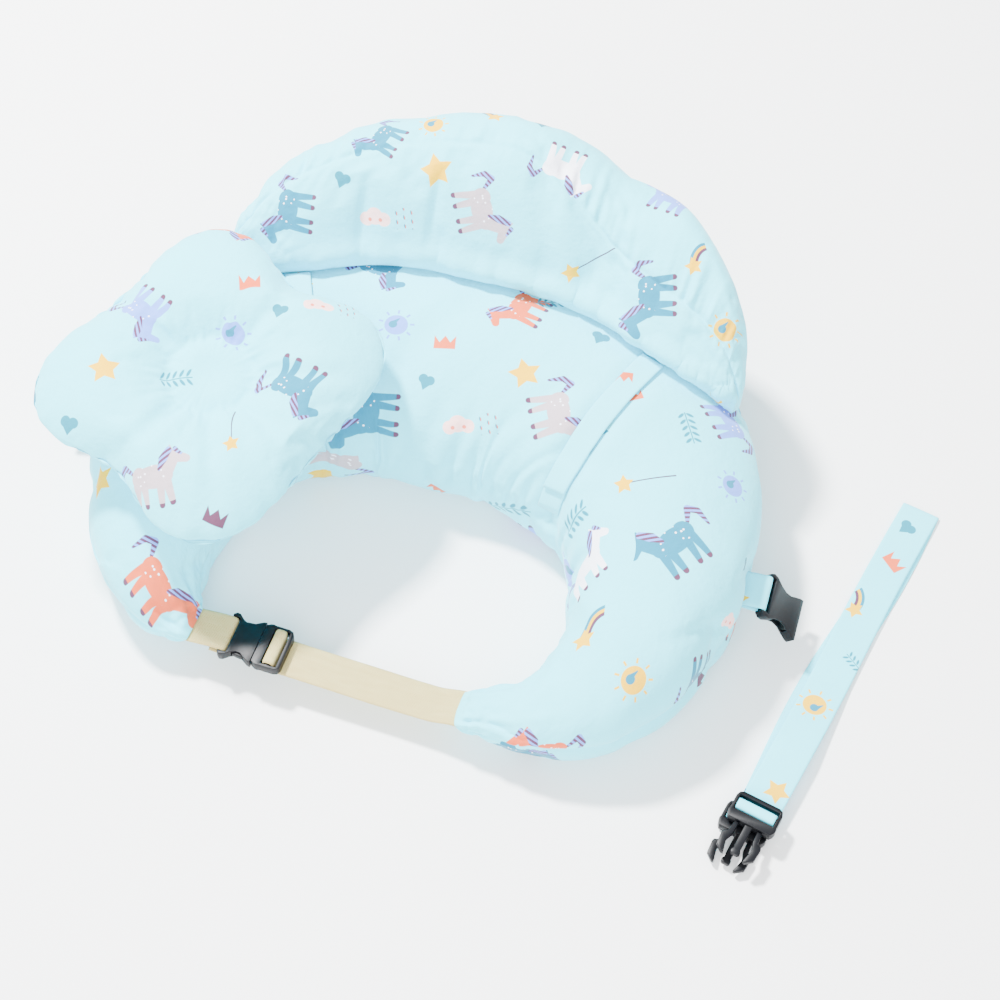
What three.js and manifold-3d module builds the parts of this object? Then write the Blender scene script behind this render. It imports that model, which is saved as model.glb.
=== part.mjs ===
// Nursing pillow with a raised guard cushion, a baby head pillow, a buckled waist belt and a loose back strap.
// Millimetres. +Y is the closed back of the U, +X the wearer's left arm, +Z up.
// The origin is on the floor, under the middle of the back of the U.
import * as THREE from 'three';
import { mergeVertices } from 'three/addons/utils/BufferGeometryUtils.js';
import Module from 'manifold-3d';

const wasm = await Module();
wasm.setup();

// ---- driving dimensions ----
const CLOTH = 2.5; // thickness of a cover panel with its batting
const SEAM_GAP = 0.5; // between two panels that are sewn together
const FILL_GAP = 3; // between a cover and its filling
const MAIN_STEPS = 32; // sections along the U
const MAIN_ARC = 7; // facets over half a section
const ROUNDNESS = 2.4; // superellipse exponent of the U's section
// x, y, half width, top height, seam height, lowest height of the section: along the U from one tip to the other
const MAIN_SECTIONS = [
  [-165, -349, 23, 44, 38, 32],
  [-179, -346, 29, 62, 41, 18],
  [-205, -326, 43, 92, 48, 2],
  [-227, -288, 60, 116, 57, -12],
  [-238, -240, 74, 131, 63, -16],
  [-240, -185, 87, 140, 67, -18],
  [-220, -118, 105, 146, 70, -18],
  [-172, -52, 126, 150, 70, -18],
  [-92, -5, 139, 150, 70, -18],
  [0, 4, 141, 150, 70, -18],
  [92, -5, 139, 150, 70, -18],
  [172, -52, 126, 150, 70, -18],
  [223, -118, 105, 146, 70, -18],
  [243, -185, 88, 140, 67, -18],
  [243, -240, 77, 132, 63, -16],
  [231, -290, 66, 118, 58, -12],
  [200, -332, 52, 96, 50, -2],
  [160, -354, 37, 74, 44, 6],
  [120, -361, 28, 58, 40, 20],
  [100, -362, 23, 44, 38, 32],
];
// front edge x, y, depth, height, direction of the section in degrees: half of the guard, from its middle to a tip
const GUARD_SECTIONS = [
  [0, 42, 150, 116, 90],
  [60, 40, 149, 115, 88],
  [120, 28, 144, 108, 85],
  [170, 8, 136, 98, 82],
  [212, -8, 116, 80, 79],
  [243, -20, 80, 58, 76],
  [261, -25, 50, 38, 75],
  [273, -28, 28, 20, 75],
];
// share of depth and height along the guard's section, from the front edge over the top to the back edge
const GUARD_FRONT = [[0, 0], [0.1, 0.26], [0.27, 0.58], [0.44, 0.81], [0.6, 0.94]];
const GUARD_STRIP = [[0.6, 0.94], [0.76, 1.0], [0.9, 0.93], [0.99, 0.72], [1.0, 0.46], [0.93, 0.2], [0.8, 0]];
const GUARD_LEFT_LESS = 0.13; // the guard's left end is this much smaller
const GUARD_STEPS = 22;
const GUARD_BASE_FACETS = 5;
const GUARD_DROP = 34; // how far the guard's base may follow the U down behind its crown
const HEAD_LOBE = 169; // centre to the end of a lobe
const HEAD_WAIST = 132; // centre to the middle of a concave side
const HEAD_UP = 36; // rise of the upper panel above the seam
const HEAD_DOWN = 30; // drop of the lower panel below the seam
const HEAD_TURNS = 32;
const HEAD_RINGS = 6;
const DENT_RADIUS = 41; // stitched circle
const DENT_DEPTH = 21;
const HEAD_POSE = { x: -205, y: -166, z: 176, turn: 24, tilt: 9, tiltAxis: 19 };
const WEB_WIDTH = 38;
const WEB_THICK = 1.8;
const BELT_TURN = Math.atan2(-13, 267);
const BELT_CENTRE = new THREE.Vector3(-33.5, -355.5, 38);
const BELT_HALF = 133.6; // half of the distance between the two tips
const BAND_WIDTH = 25;
const BAND_THICK = 1.4;
const RIGHT_TAB_Y = -176;
const LEFT_TAB_Y = -140; // under the head pillow
const TAB_REACH = 16; // from the side seam to the bar that the side buckle hangs on
const SIDE_DROOP = 45; // degrees that a side buckle hangs below level
const STRAP_WIDTH = 38;
const STRAP_TOP = new THREE.Vector2(476, 12);
const STRAP_END = new THREE.Vector2(387, -374);
const ZIP_LENGTH = 260;
const ZIP_Y = 24;

const COLOURS = {
  cloth: [0xd2eef2, 0.9, 0],
  clothShade: [0xc4e6ec, 0.92, 0],
  fill: [0xf4f3ee, 1, 0],
  webbing: [0xdccaa6, 0.85, 0],
  plastic: [0x15191f, 0.42, 0],
  hook: [0xe6eef0, 0.95, 0],
  zip: [0xcfe4e8, 0.6, 0],
};

// ---- solids ----
const V = (x, y, z) => new THREE.Vector3(x, y, z);
const rad = THREE.MathUtils.degToRad;
const scratch = new THREE.Matrix4();

function toSolid(geometry) {
  const bare = geometry.clone();
  bare.deleteAttribute('normal');
  bare.deleteAttribute('uv');
  const merged = mergeVertices(bare, 1e-4);
  return new wasm.Manifold(new wasm.Mesh({
    numProp: 3,
    vertProperties: Float32Array.from(merged.attributes.position.array),
    triVerts: Uint32Array.from(merged.index.array),
  }));
}

function toGeometry(solid) {
  const mesh = solid.getMesh();
  const geometry = new THREE.BufferGeometry();
  geometry.setAttribute('position', new THREE.BufferAttribute(mesh.vertProperties, 3));
  geometry.setIndex(new THREE.BufferAttribute(mesh.triVerts, 1));
  return geometry;
}

function outward(geometry) {
  const p = geometry.attributes.position;
  const index = geometry.index.array;
  const [a, b, c] = [V(), V(), V()];
  let volume = 0;
  for (let i = 0; i < index.length; i += 3) {
    a.fromBufferAttribute(p, index[i]);
    b.fromBufferAttribute(p, index[i + 1]);
    c.fromBufferAttribute(p, index[i + 2]);
    volume += a.dot(b.cross(c));
  }
  if (volume < 0) {
    for (let i = 0; i < index.length; i += 3) [index[i], index[i + 1]] = [index[i + 1], index[i]];
  }
  return geometry;
}

// Joins rings of equal length; caps holds the first and last ring as plane outlines, or is null on a closed ring of rings.
function loft(rings, caps) {
  const n = rings[0].length;
  const position = [];
  const index = [];
  for (const ring of rings) for (const p of ring) position.push(p.x, p.y, p.z);
  const last = caps ? rings.length - 1 : rings.length;
  for (let i = 0; i < last; i += 1) {
    const here = i * n;
    const next = ((i + 1) % rings.length) * n;
    for (let j = 0; j < n; j += 1) {
      const k = (j + 1) % n;
      index.push(here + j, next + j, next + k, here + j, next + k, here + k);
    }
  }
  if (caps) {
    const end = (rings.length - 1) * n;
    for (const [a, b, c] of THREE.ShapeUtils.triangulateShape(caps[0], [])) {
      index.push(...(THREE.ShapeUtils.isClockWise(caps[0]) ? [a, c, b] : [a, b, c]));
    }
    for (const [a, b, c] of THREE.ShapeUtils.triangulateShape(caps[1], [])) {
      index.push(...(THREE.ShapeUtils.isClockWise(caps[1]) ? [a, b, c] : [a, c, b]).map((k) => k + end));
    }
  }
  const geometry = new THREE.BufferGeometry();
  geometry.setAttribute('position', new THREE.Float32BufferAttribute(position, 3));
  geometry.setIndex(index);
  return outward(geometry);
}

// Moves a closed plane outline inwards by t, keeping its corners.
function inset(points, t) {
  const n = points.length;
  const sign = THREE.ShapeUtils.isClockWise(points) ? -1 : 1;
  return points.map((p, i) => {
    const before = p.clone().sub(points[(i + n - 1) % n]).normalize();
    const after = points[(i + 1) % n].clone().sub(p).normalize();
    const normal = new THREE.Vector2(-(before.y + after.y), before.x + after.x).normalize().multiplyScalar(sign);
    const lean = Math.max(0.35, Math.abs(normal.x * -before.y * sign + normal.y * before.x * sign));
    return p.clone().addScaledVector(normal, t / lean);
  });
}

// A wall along part of a closed outline: its outer points first, then its inner ones back.
function wall(outer, inner, from, to) {
  const n = outer.length;
  const pick = (ring) => Array.from({ length: to - from + 1 }, (_, k) => ring[(from + k) % n].clone());
  const [a, b] = [pick(outer), pick(inner)];
  for (const row of [a, b]) {
    const m = row.length - 1;
    const [first, last] = [row[0].clone(), row[m].clone()];
    row[0].addScaledVector(row[1].clone().sub(first).normalize(), SEAM_GAP * 0.6);
    row[m].addScaledVector(row[m - 1].clone().sub(last).normalize(), SEAM_GAP * 0.6);
  }
  return [...a, ...b.reverse()];
}

function slab(shape, low, high, segments = 4) {
  const geometry = new THREE.ExtrudeGeometry(shape, { depth: high - low, bevelEnabled: false, curveSegments: segments });
  return geometry.translate(0, 0, low);
}

function block(x0, x1, y0, y1, z0, z1) {
  const geometry = new THREE.BoxGeometry(x1 - x0, y1 - y0, z1 - z0);
  return geometry.translate((x0 + x1) / 2, (y0 + y1) / 2, (z0 + z1) / 2);
}

function cut(base, ...tools) {
  let solid = toSolid(base);
  for (const tool of tools) solid = solid.subtract(toSolid(tool));
  return toGeometry(solid);
}

function fuse(...shapes) {
  return toGeometry(shapes.map(toSolid).reduce((a, b) => a.add(b)));
}

// A flat tape along a line of points in the local X-Z plane, width along Y.
function tape(line, width, thick) {
  const sides = [];
  const n = line.length;
  for (let i = 0; i < n; i += 1) {
    const a = line[Math.max(0, i - 1)];
    const b = line[Math.min(n - 1, i + 1)];
    const before = line[i].clone().sub(a).normalize();
    const after = b.clone().sub(line[i]).normalize();
    const along = i === 0 ? after : i === n - 1 ? before : before.clone().add(after).normalize();
    const lean = i === 0 || i === n - 1 ? 1 : Math.max(0.5, along.dot(after));
    sides.push(new THREE.Vector2(-along.y, along.x).multiplyScalar(thick / 2 / lean));
  }
  const rim = [...line.map((p, i) => p.clone().add(sides[i])), ...line.map((p, i) => p.clone().sub(sides[i])).reverse()];
  const geometry = new THREE.ExtrudeGeometry(new THREE.Shape(rim), { depth: width, bevelEnabled: false, curveSegments: 1 });
  return geometry.translate(0, 0, -width / 2).rotateX(Math.PI / 2);
}

// ---- the U ----
function spline(rows) {
  const curve = new THREE.CatmullRomCurve3(rows.map((r) => V(r[0], r[1], r[2] ?? 0)), false, 'catmullrom', 0.5);
  return (t) => curve.getPoint(t);
}

const mainPath = spline(MAIN_SECTIONS.map((r) => [r[0], r[1], r[2]]));
const mainHeights = spline(MAIN_SECTIONS.map((r) => [r[3], r[4], r[5]]));

function mainSection(t) {
  const p = mainPath(t);
  const along = mainPath(Math.min(1, t + 0.02)).sub(mainPath(Math.max(0, t - 0.02))).setZ(0).normalize();
  const h = mainHeights(t);
  return { x: p.x, y: p.y, half: p.z, side: V(-along.y, along.x, 0), along, top: h.x, seam: h.y, low: h.z };
}

function mainOutline(s) {
  const points = [];
  for (let i = 0; i < 2 * MAIN_ARC; i += 1) {
    const angle = (Math.PI * i) / MAIN_ARC;
    const [c, d] = [Math.cos(angle), Math.sin(angle)];
    const u = s.half * Math.sign(c) * Math.abs(c) ** (2 / ROUNDNESS);
    const rise = d >= 0 ? s.top - s.seam : s.seam - s.low;
    const v = s.seam + rise * Math.sign(d) * Math.abs(d) ** (2 / ROUNDNESS);
    points.push(new THREE.Vector2(u, Math.max(0, v)));
  }
  return points;
}

const onMain = (s, p) => V(s.x + s.side.x * p.x, s.y + s.side.y * p.x, p.y);

function mainPanel(from, to) {
  const rings = [];
  const flats = [];
  for (let i = 0; i <= MAIN_STEPS; i += 1) {
    const s = mainSection(i / MAIN_STEPS);
    const outer = mainOutline(s);
    const ring = wall(outer, inset(outer, CLOTH), from, to);
    rings.push(ring.map((p) => onMain(s, p)));
    flats.push(ring);
  }
  return loft(rings, [flats[0], flats[MAIN_STEPS]]);
}

function mainFilling() {
  const rings = [];
  const flats = [];
  for (let i = 4; i <= MAIN_STEPS - 4; i += 1) {
    const s = mainSection(i / MAIN_STEPS);
    const ring = inset(mainOutline(s), CLOTH + FILL_GAP);
    rings.push(ring.map((p) => onMain(s, p)));
    flats.push(ring);
  }
  return loft(rings, [flats[0], flats[flats.length - 1]]);
}

const probes = Array.from({ length: 301 }, (_, i) => mainSection(i / 300));

// Height of the U's upper panel over a place in the plan, or null beside it.
function topHeight(x, y) {
  let best = null;
  for (const s of probes) {
    const [dx, dy] = [x - s.x, y - s.y];
    const off = Math.abs(dx * s.along.x + dy * s.along.y);
    const share = Math.abs(dx * s.side.x + dy * s.side.y) / s.half;
    if (off < 12 && share < 1 && (!best || off < best.off)) {
      best = { off, z: s.seam + (s.top - s.seam) * (1 - share ** ROUNDNESS) ** (1 / ROUNDNESS) };
    }
  }
  return best ? best.z : null;
}

function mainBottom() {
  const slit = block(-ZIP_LENGTH / 2, ZIP_LENGTH / 2, ZIP_Y - 6, ZIP_Y + 6, -1, CLOTH + 1);
  return cut(mainPanel(MAIN_ARC, 2 * MAIN_ARC), slit);
}

const zipTape = () => block(-ZIP_LENGTH / 2 - 6, ZIP_LENGTH / 2 + 6, ZIP_Y - 12, ZIP_Y + 12, CLOTH + 0.3, CLOTH + 1.5);
const zipSlider = () => block(-ZIP_LENGTH / 2 + 2, -ZIP_LENGTH / 2 + 16, ZIP_Y - 4, ZIP_Y + 4, 0.4, CLOTH);

// ---- the guard ----
const guardRows = [
  ...GUARD_SECTIONS.slice(1).reverse().map(([x, y, depth, height, angle]) => {
    const less = 1 - GUARD_LEFT_LESS * (x / 274);
    return [-x * (1 + less) / 2, y, depth * less, height * less, 180 - angle];
  }),
  ...GUARD_SECTIONS,
];
const guardEdge = spline(guardRows.map((r) => [r[0], r[1], r[4]]));
const guardSize = spline(guardRows.map((r) => [r[2], r[3], 0]));

function guardSection(t) {
  const p = guardEdge(t);
  const d = guardSize(t);
  const side = V(Math.cos(rad(p.z)), Math.sin(rad(p.z)), 0);
  return { x: p.x, y: p.y, side, depth: d.x, height: d.y, foot: (topHeight(p.x, p.y) ?? 80) + 2.2 };
}

function guardOutline(s) {
  const over = [...GUARD_FRONT, ...GUARD_STRIP.slice(1)];
  const back = GUARD_STRIP[GUARD_STRIP.length - 1][0] * s.depth;
  const crown = s.foot;
  const base = (u) => {
    const z = topHeight(s.x + s.side.x * u, s.y + s.side.y * u) ?? 0;
    return Math.max(z + 2.2, crown - GUARD_DROP);
  };
  const drop = base(back) - crown;
  const points = over.map(([u, v]) => new THREE.Vector2(u * s.depth, crown + v * s.height + drop * (1 - v) ** 2 * u / 0.8));
  for (let i = 1; i < GUARD_BASE_FACETS; i += 1) {
    const u = back * (1 - i / GUARD_BASE_FACETS);
    points.push(new THREE.Vector2(u, base(u)));
  }
  return points;
}

function guardPanel(from, to, deeper) {
  const rings = [];
  const flats = [];
  for (let i = 0; i <= GUARD_STEPS; i += 1) {
    const s = guardSection(deeper ? 0.14 + (0.72 * i) / GUARD_STEPS : i / GUARD_STEPS);
    const t = Math.min(CLOTH, 0.11 * s.height);
    const outer = guardOutline(s);
    const ring = deeper ? inset(outer, t + FILL_GAP) : wall(outer, inset(outer, t), from, to);
    rings.push(ring.map((p) => V(s.x + s.side.x * p.x, s.y + s.side.y * p.x, p.y)));
    flats.push(ring);
  }
  return loft(rings, [flats[0], flats[GUARD_STEPS]]);
}

const FRONT_END = GUARD_FRONT.length - 1;
const STRIP_END = FRONT_END + GUARD_STRIP.length - 1;
const BASE_END = STRIP_END + GUARD_BASE_FACETS;

const DRAPE_STEP = 8;

// Height under a tape of BAND_WIDTH at distance d from the guard, joined straight between places DRAPE_STEP apart.
function drapeHeight(line, d) {
  const level = (k) => {
    const c = line.at(k * DRAPE_STEP);
    const edges = [-0.5, 0, 0.5].map((w) => c.clone().addScaledVector(line.side, w * BAND_WIDTH));
    return Math.max(...edges.map((p) => topHeight(p.x, p.y) ?? 0));
  };
  const k = Math.floor(d / DRAPE_STEP);
  const share = d / DRAPE_STEP - k;
  return level(k) * (1 - share) + (share > 0 ? level(k + 1) * share : 0);
}

// A tape on the U's upper panel from distance d0 to d1, its underside lift above the panel.
function draped(line, d0, d1, width, thick, lift) {
  const stops = [d0];
  for (let k = Math.floor(d0 / DRAPE_STEP) + 1; k * DRAPE_STEP < d1 - 1; k += 1) stops.push(k * DRAPE_STEP);
  stops.push(d1);
  const rings = stops.map((d) => {
    const c = line.at(d);
    const z = drapeHeight(line, d) + lift;
    const corner = (w, up) => V(c.x + line.side.x * w * width, c.y + line.side.y * w * width, z + up);
    return [corner(-0.5, 0), corner(0.5, 0), corner(0.5, thick), corner(-0.5, thick)];
  });
  const flat = [[-1, 0], [1, 0], [1, 1], [-1, 1]].map(([x, y]) => new THREE.Vector2(x, y));
  return loft(rings, [flat, flat]);
}

// ---- the head pillow ----
function headRadius(angle, t) {
  const mean = (HEAD_LOBE + HEAD_WAIST) / 2;
  const lean = rad(-2 + 4 * Math.cos(angle) + 6 * Math.cos(2 * angle));
  return mean + ((HEAD_LOBE - HEAD_WAIST) / 2) * Math.cos(4 * (angle - lean)) - t;
}

function headTop(r, share, t) {
  const sink = DENT_DEPTH * THREE.MathUtils.smoothstep(-r, -78, -DENT_RADIUS + 8);
  return (HEAD_UP - t) * (1 - share ** 2.8) ** 0.6 - sink;
}

const headBottom = (r, share, t) => -(HEAD_DOWN - t) * (1 - share ** 2.6) ** 0.6;

// Points on one of the head pillow's surfaces, in one direction, from radius r0 to its rim.
function headLine(angle, height, t, r0, rimGap) {
  const points = [];
  const rim = headRadius(angle, t);
  for (let i = 0; i <= HEAD_RINGS; i += 1) {
    const k = Math.sin((Math.PI / 2) * (i / HEAD_RINGS));
    const r = r0 + (rim - r0) * k;
    const z = i === HEAD_RINGS ? 0 : height(r, r / rim, t);
    points.push(V(r * Math.cos(angle), r * Math.sin(angle), rimGap > 0 ? Math.max(z, rimGap) : Math.min(z, rimGap)));
  }
  return points;
}

function placeHead(geometry) {
  const axis = V(Math.cos(rad(HEAD_POSE.tiltAxis)), Math.sin(rad(HEAD_POSE.tiltAxis)), 0);
  geometry.rotateZ(rad(HEAD_POSE.turn));
  geometry.applyMatrix4(scratch.makeRotationAxis(axis, rad(HEAD_POSE.tilt)));
  return geometry.translate(HEAD_POSE.x, HEAD_POSE.y, HEAD_POSE.z);
}

function headTopCover() {
  const rings = [];
  for (let i = 0; i < HEAD_TURNS; i += 1) {
    const angle = (2 * Math.PI * i) / HEAD_TURNS;
    const outer = headLine(angle, headTop, 0, DENT_RADIUS + 0.3, SEAM_GAP / 2);
    const inner = headLine(angle, headTop, CLOTH, DENT_RADIUS + 0.3, SEAM_GAP / 2);
    rings.push([...outer, ...inner.reverse()]);
  }
  return placeHead(loft(rings, null));
}

// A closed disc between two of the head pillow's surfaces.
function headDisc(upper, lower) {
  const position = [];
  const index = [];
  const n = HEAD_RINGS;
  for (let i = 0; i < HEAD_TURNS; i += 1) {
    const angle = (2 * Math.PI * i) / HEAD_TURNS;
    const loop = [...upper(angle).slice(1), ...lower(angle).slice(1).reverse()];
    for (const p of loop) position.push(p.x, p.y, p.z);
  }
  const centre = position.length / 3;
  position.push(0, 0, upper(0)[0].z, 0, 0, lower(0)[0].z);
  for (let i = 0; i < HEAD_TURNS; i += 1) {
    const here = i * 2 * n;
    const next = ((i + 1) % HEAD_TURNS) * 2 * n;
    for (let j = 0; j < 2 * n - 1; j += 1) {
      index.push(here + j, here + j + 1, next + j + 1, here + j, next + j + 1, next + j);
    }
    index.push(centre, here, next);
    index.push(centre + 1, next + 2 * n - 1, here + 2 * n - 1);
  }
  const geometry = new THREE.BufferGeometry();
  geometry.setAttribute('position', new THREE.Float32BufferAttribute(position, 3));
  geometry.setIndex(index);
  return placeHead(outward(geometry));
}

function headBottomCover() {
  const gap = -SEAM_GAP / 2;
  return headDisc((a) => headLine(a, headBottom, CLOTH, 0, gap), (a) => headLine(a, headBottom, 0, 0, gap));
}

function headFilling() {
  const t = CLOTH + FILL_GAP + 2;
  return headDisc((a) => headLine(a, headTop, t, 0, 0.4), (a) => headLine(a, headBottom, t, 0, -0.4));
}

function headDent() {
  const profile = [];
  const rim = (HEAD_LOBE + HEAD_WAIST) / 2;
  const radii = [0, 14, 26, 34, DENT_RADIUS - 0.3];
  for (const r of radii) profile.push(new THREE.Vector2(r, headTop(r, r / rim, CLOTH)));
  for (const r of [...radii].reverse()) profile.push(new THREE.Vector2(r, headTop(r, r / rim, 0)));
  return placeHead(new THREE.LatheGeometry(profile, 24).rotateX(Math.PI / 2));
}

// ---- side-release buckles: x = 0 at the socket's mouth, the plug comes in from +x ----
const WAIST_REACH = 1; // the waist buckle is short
const STRAP_REACH = 1.45; // the strap's plugs and the side sockets are this much longer inside
const BUCKLE_THICK = 10;
const SLIDER_END = 29;
const BAR_RADIUS = 2.1;
const SOCKET_BACK = -34;
const barX = (reach) => SOCKET_BACK * reach + 2;

function mirroredShape(half, reach) {
  const points = [...half, ...half.map(([x, y]) => [x, -y]).reverse()];
  return new THREE.Shape(points.map(([x, y]) => new THREE.Vector2(x < -0.6 ? x * reach : x, y)));
}

function socket(reach) {
  const outline = [
    [SOCKET_BACK, 21.5], [-31, 24], [-27.5, 23.4], [-22, 18.6], [-17, 16.2], [-12, 16.6], [-8, 19.4], [-3, 22.4], [0, 23],
  ];
  const body = slab(mirroredShape(outline, reach), -BUCKLE_THICK / 2, BUCKLE_THICK / 2);
  const back = SOCKET_BACK * reach;
  const bore = block(back + 10, 1, -17, 17, -3.1, 3.1);
  const window = block(-21 * reach, -8 * reach, -30, 30, -3.1, 3.1);
  const slot = block(back + 4, back + 8.5, -19.7, 19.7, -9, 9);
  const over = block(back - 1, back + 5, -19.7, 19.7, BAR_RADIUS, 9);
  const under = block(back - 1, back + 5, -19.7, 19.7, -9, -BAR_RADIUS);
  return cut(body, bore, window, slot, over, under);
}

function plugBody(reach) {
  const outline = [[0.5, 20.6], [4, 22.8], [7, 23.4], [9, 22.8], [23, 22.8], [27, 21.4], [SLIDER_END, 18]];
  const frame = slab(mirroredShape(outline, 1), -BUCKLE_THICK / 2, BUCKLE_THICK / 2);
  const half = [[-21, 3.2], [-19.8, 4.4], [-18, 4.4], [-17, 3.2], [1, 3.6]];
  const blade = slab(mirroredShape(half, reach), -2.4, 2.4);
  const first = block(9.5, 14.5, -19.7, 19.7, -9, 9);
  const second = block(18.5, 25, -19.7, 19.7, -9, 9);
  return cut(fuse(frame, blade), first, second);
}

function plugArm(side, reach) {
  const points = [
    [-0.5, 9.2], [-8, 9.6], [-14, 12.4], [-23.2, 9.4], [-23.4, 11.6], [-19.5, 18.4], [-11, 19.4], [-9.2, 18.6], [-8, 14.6],
    [-0.5, 13.4],
  ];
  const outline = points.map(([x, y]) => new THREE.Vector2(x < -0.6 ? x * reach : x, side * y));
  return slab(new THREE.Shape(outline), -2.6, 2.6);
}

// The web's turn over the slider's middle bar, down into both slots.
function sliderWrap(thick) {
  const h = BUCKLE_THICK / 2 + 0.5 + thick / 2;
  const line = [[12, -3.4], [12, h - 1], [13.4, h], [19.8, h], [21.4, h - 1], [21.4, -3.4]];
  return tape(line.map(([x, z]) => new THREE.Vector2(x, z)), WEB_WIDTH, thick);
}

// ---- placing ----
const onBelt = (geometry) => geometry.rotateZ(BELT_TURN).translate(BELT_CENTRE.x, BELT_CENTRE.y, BELT_CENTRE.z);
const BELT_MOUTH = -BELT_HALF + 67; // the closed waist buckle's mouth along the belt
const onWaistBuckle = (geometry) => onBelt(geometry.translate(BELT_MOUTH, 0, 0));

// The short web comes out of its tip, goes round the socket's bar and back under itself.
function shortWeb() {
  const bar = BELT_MOUTH + barX(WAIST_REACH);
  const h = BAR_RADIUS + 0.8 + WEB_THICK / 2;
  const nose = bar + BAR_RADIUS + 1 + WEB_THICK / 2;
  const line = [
    [-BELT_HALF - 9, 0], [-BELT_HALF + 3, 0], [bar - 9, h], [bar + 1.4, h], [nose, h - 1.6],
    [nose, 1.6 - h], [bar + 1.4, -h], [bar - 12, -h],
  ];
  return onBelt(tape(line.map(([x, z]) => new THREE.Vector2(x, z)), WEB_WIDTH, WEB_THICK));
}

// The long web runs under the plug's slider to the other tip.
function longWeb() {
  const z = -BUCKLE_THICK / 2 - 0.5 - WEB_THICK / 2;
  const line = [[BELT_MOUTH + 9, z], [BELT_HALF - 26, z], [BELT_HALF - 4, 0], [BELT_HALF + 9, 0]];
  return onBelt(tape(line.map((p) => new THREE.Vector2(p[0], p[1])), WEB_WIDTH, WEB_THICK));
}

// side +1 or -1: the loop sewn into the side seam, and the socket that hangs in it
const tabY = (side) => (side > 0 ? RIGHT_TAB_Y : LEFT_TAB_Y);

function seamReach(side, y) {
  let reach = 0;
  let seam = 0;
  for (const s of probes) {
    for (const k of [-1, 1]) {
      const [x, py] = [s.x + k * s.side.x * s.half, s.y + k * s.side.y * s.half];
      if (Math.abs(py - y) < WEB_WIDTH / 2 && x * side > reach) [reach, seam] = [x * side, s.seam];
    }
  }
  return { reach, seam };
}

function onSide(geometry, side) {
  const y = tabY(side);
  const { reach, seam } = seamReach(side, y);
  if (side < 0) geometry.rotateZ(Math.PI);
  return geometry.translate(side * reach, y, seam);
}

// Two layers from the seam, joined round the socket's bar; they start just outside the covers.
function sideTab(side) {
  const nose = BAR_RADIUS + 1.7;
  const layer = (k) => [[0.9, 2.2], [TAB_REACH - 7, 2.2], [TAB_REACH - 1, nose], [TAB_REACH + 1.6, nose], [TAB_REACH + nose, 1.6]]
    .map(([x, z]) => new THREE.Vector2(x, k * z));
  return onSide(tape([...layer(1), ...layer(-1).reverse()], WEB_WIDTH, 1.2), side);
}

// The socket hangs by its bar, which lies inside the loop's nose.
function sideSocket(side) {
  const geometry = socket(STRAP_REACH).translate(-barX(STRAP_REACH), 0, 0);
  geometry.rotateY(rad(SIDE_DROOP));
  return onSide(geometry.translate(TAB_REACH, 0, 0), side);
}

// ---- the loose strap, folded double, on the floor ----
const strapAxis = STRAP_END.clone().sub(STRAP_TOP);
const STRAP_LENGTH = strapAxis.length();
const STRAP_TURN = Math.atan2(strapAxis.y, strapAxis.x);
const LOWER_PLUG = 7.4; // middle of the plug under the upper layer
const UPPER_PLUG = 20.6;
const UPPER_LAYER = 14.9; // middle of the upper layer where it lies on the lower plug
const LOWER_LAYER = 1.2;
const UNDER_SHIFT = 6; // the lower plug lies this much further along
const UNDER_SIDE = -5;
const onStrap = (geometry) => geometry.rotateZ(STRAP_TURN).translate(STRAP_TOP.x, STRAP_TOP.y, 0);

function strapBand() {
  const end = STRAP_LENGTH;
  const line = [
    [end - 8, UPPER_LAYER], [end - 78, UPPER_LAYER], [end - 160, 4.4], [14, 3.6], [6, 3.2], [3, 2.4], [6, 1.5], [14, LOWER_LAYER],
    [end - 2, LOWER_LAYER],
  ];
  return onStrap(tape(line.map(([x, z]) => new THREE.Vector2(x, z)), STRAP_WIDTH, 1.1));
}

// upper: true for the plug on top. The plug's mouth points away from the strap.
function onStrapEnd(geometry, upper) {
  geometry.rotateZ(Math.PI);
  const x = STRAP_LENGTH + 20 + (upper ? 0 : UNDER_SHIFT);
  const y = upper ? 0 : UNDER_SIDE;
  return onStrap(geometry.translate(x, y, upper ? UPPER_PLUG : LOWER_PLUG));
}

// ---- the bands that hold the guard, and what they fasten to ----
const BANDS = {
  right: [new THREE.Vector2(186, -3), new THREE.Vector2(127, -154)],
  left: [new THREE.Vector2(-176, -1), new THREE.Vector2(-113, -148)],
};

function bandParts(name) {
  const [from, to] = BANDS[name];
  const along = to.clone().sub(from);
  const length = along.length();
  const line = {
    at: (d) => from.clone().addScaledVector(along, d / length),
    side: new THREE.Vector2(-along.y, along.x).normalize(),
  };
  return {
    band: draped(line, 0, length - 8, BAND_WIDTH, BAND_THICK, 6),
    hook: draped(line, length - 40, length - 10, BAND_WIDTH - 3, 1.2, 4),
    anchor: draped(line, length - 46, length, BAND_WIDTH, 1.4, 1.8),
  };
}

// ---- the assembly ----
const assembly = new THREE.Group();

function add(name, geometry, colour) {
  const [hex, roughness, metalness] = COLOURS[colour];
  const mesh = new THREE.Mesh(geometry, new THREE.MeshStandardMaterial({ color: hex, roughness, metalness }));
  mesh.name = name;
  assembly.add(mesh);
}

add('main_top_cover', mainPanel(0, MAIN_ARC), 'cloth');
add('main_bottom_cover', mainBottom(), 'clothShade');
add('main_filling', mainFilling(), 'fill');
add('main_zip_tape', zipTape(), 'zip');
add('main_zip_slider', zipSlider(), 'zip');

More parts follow.
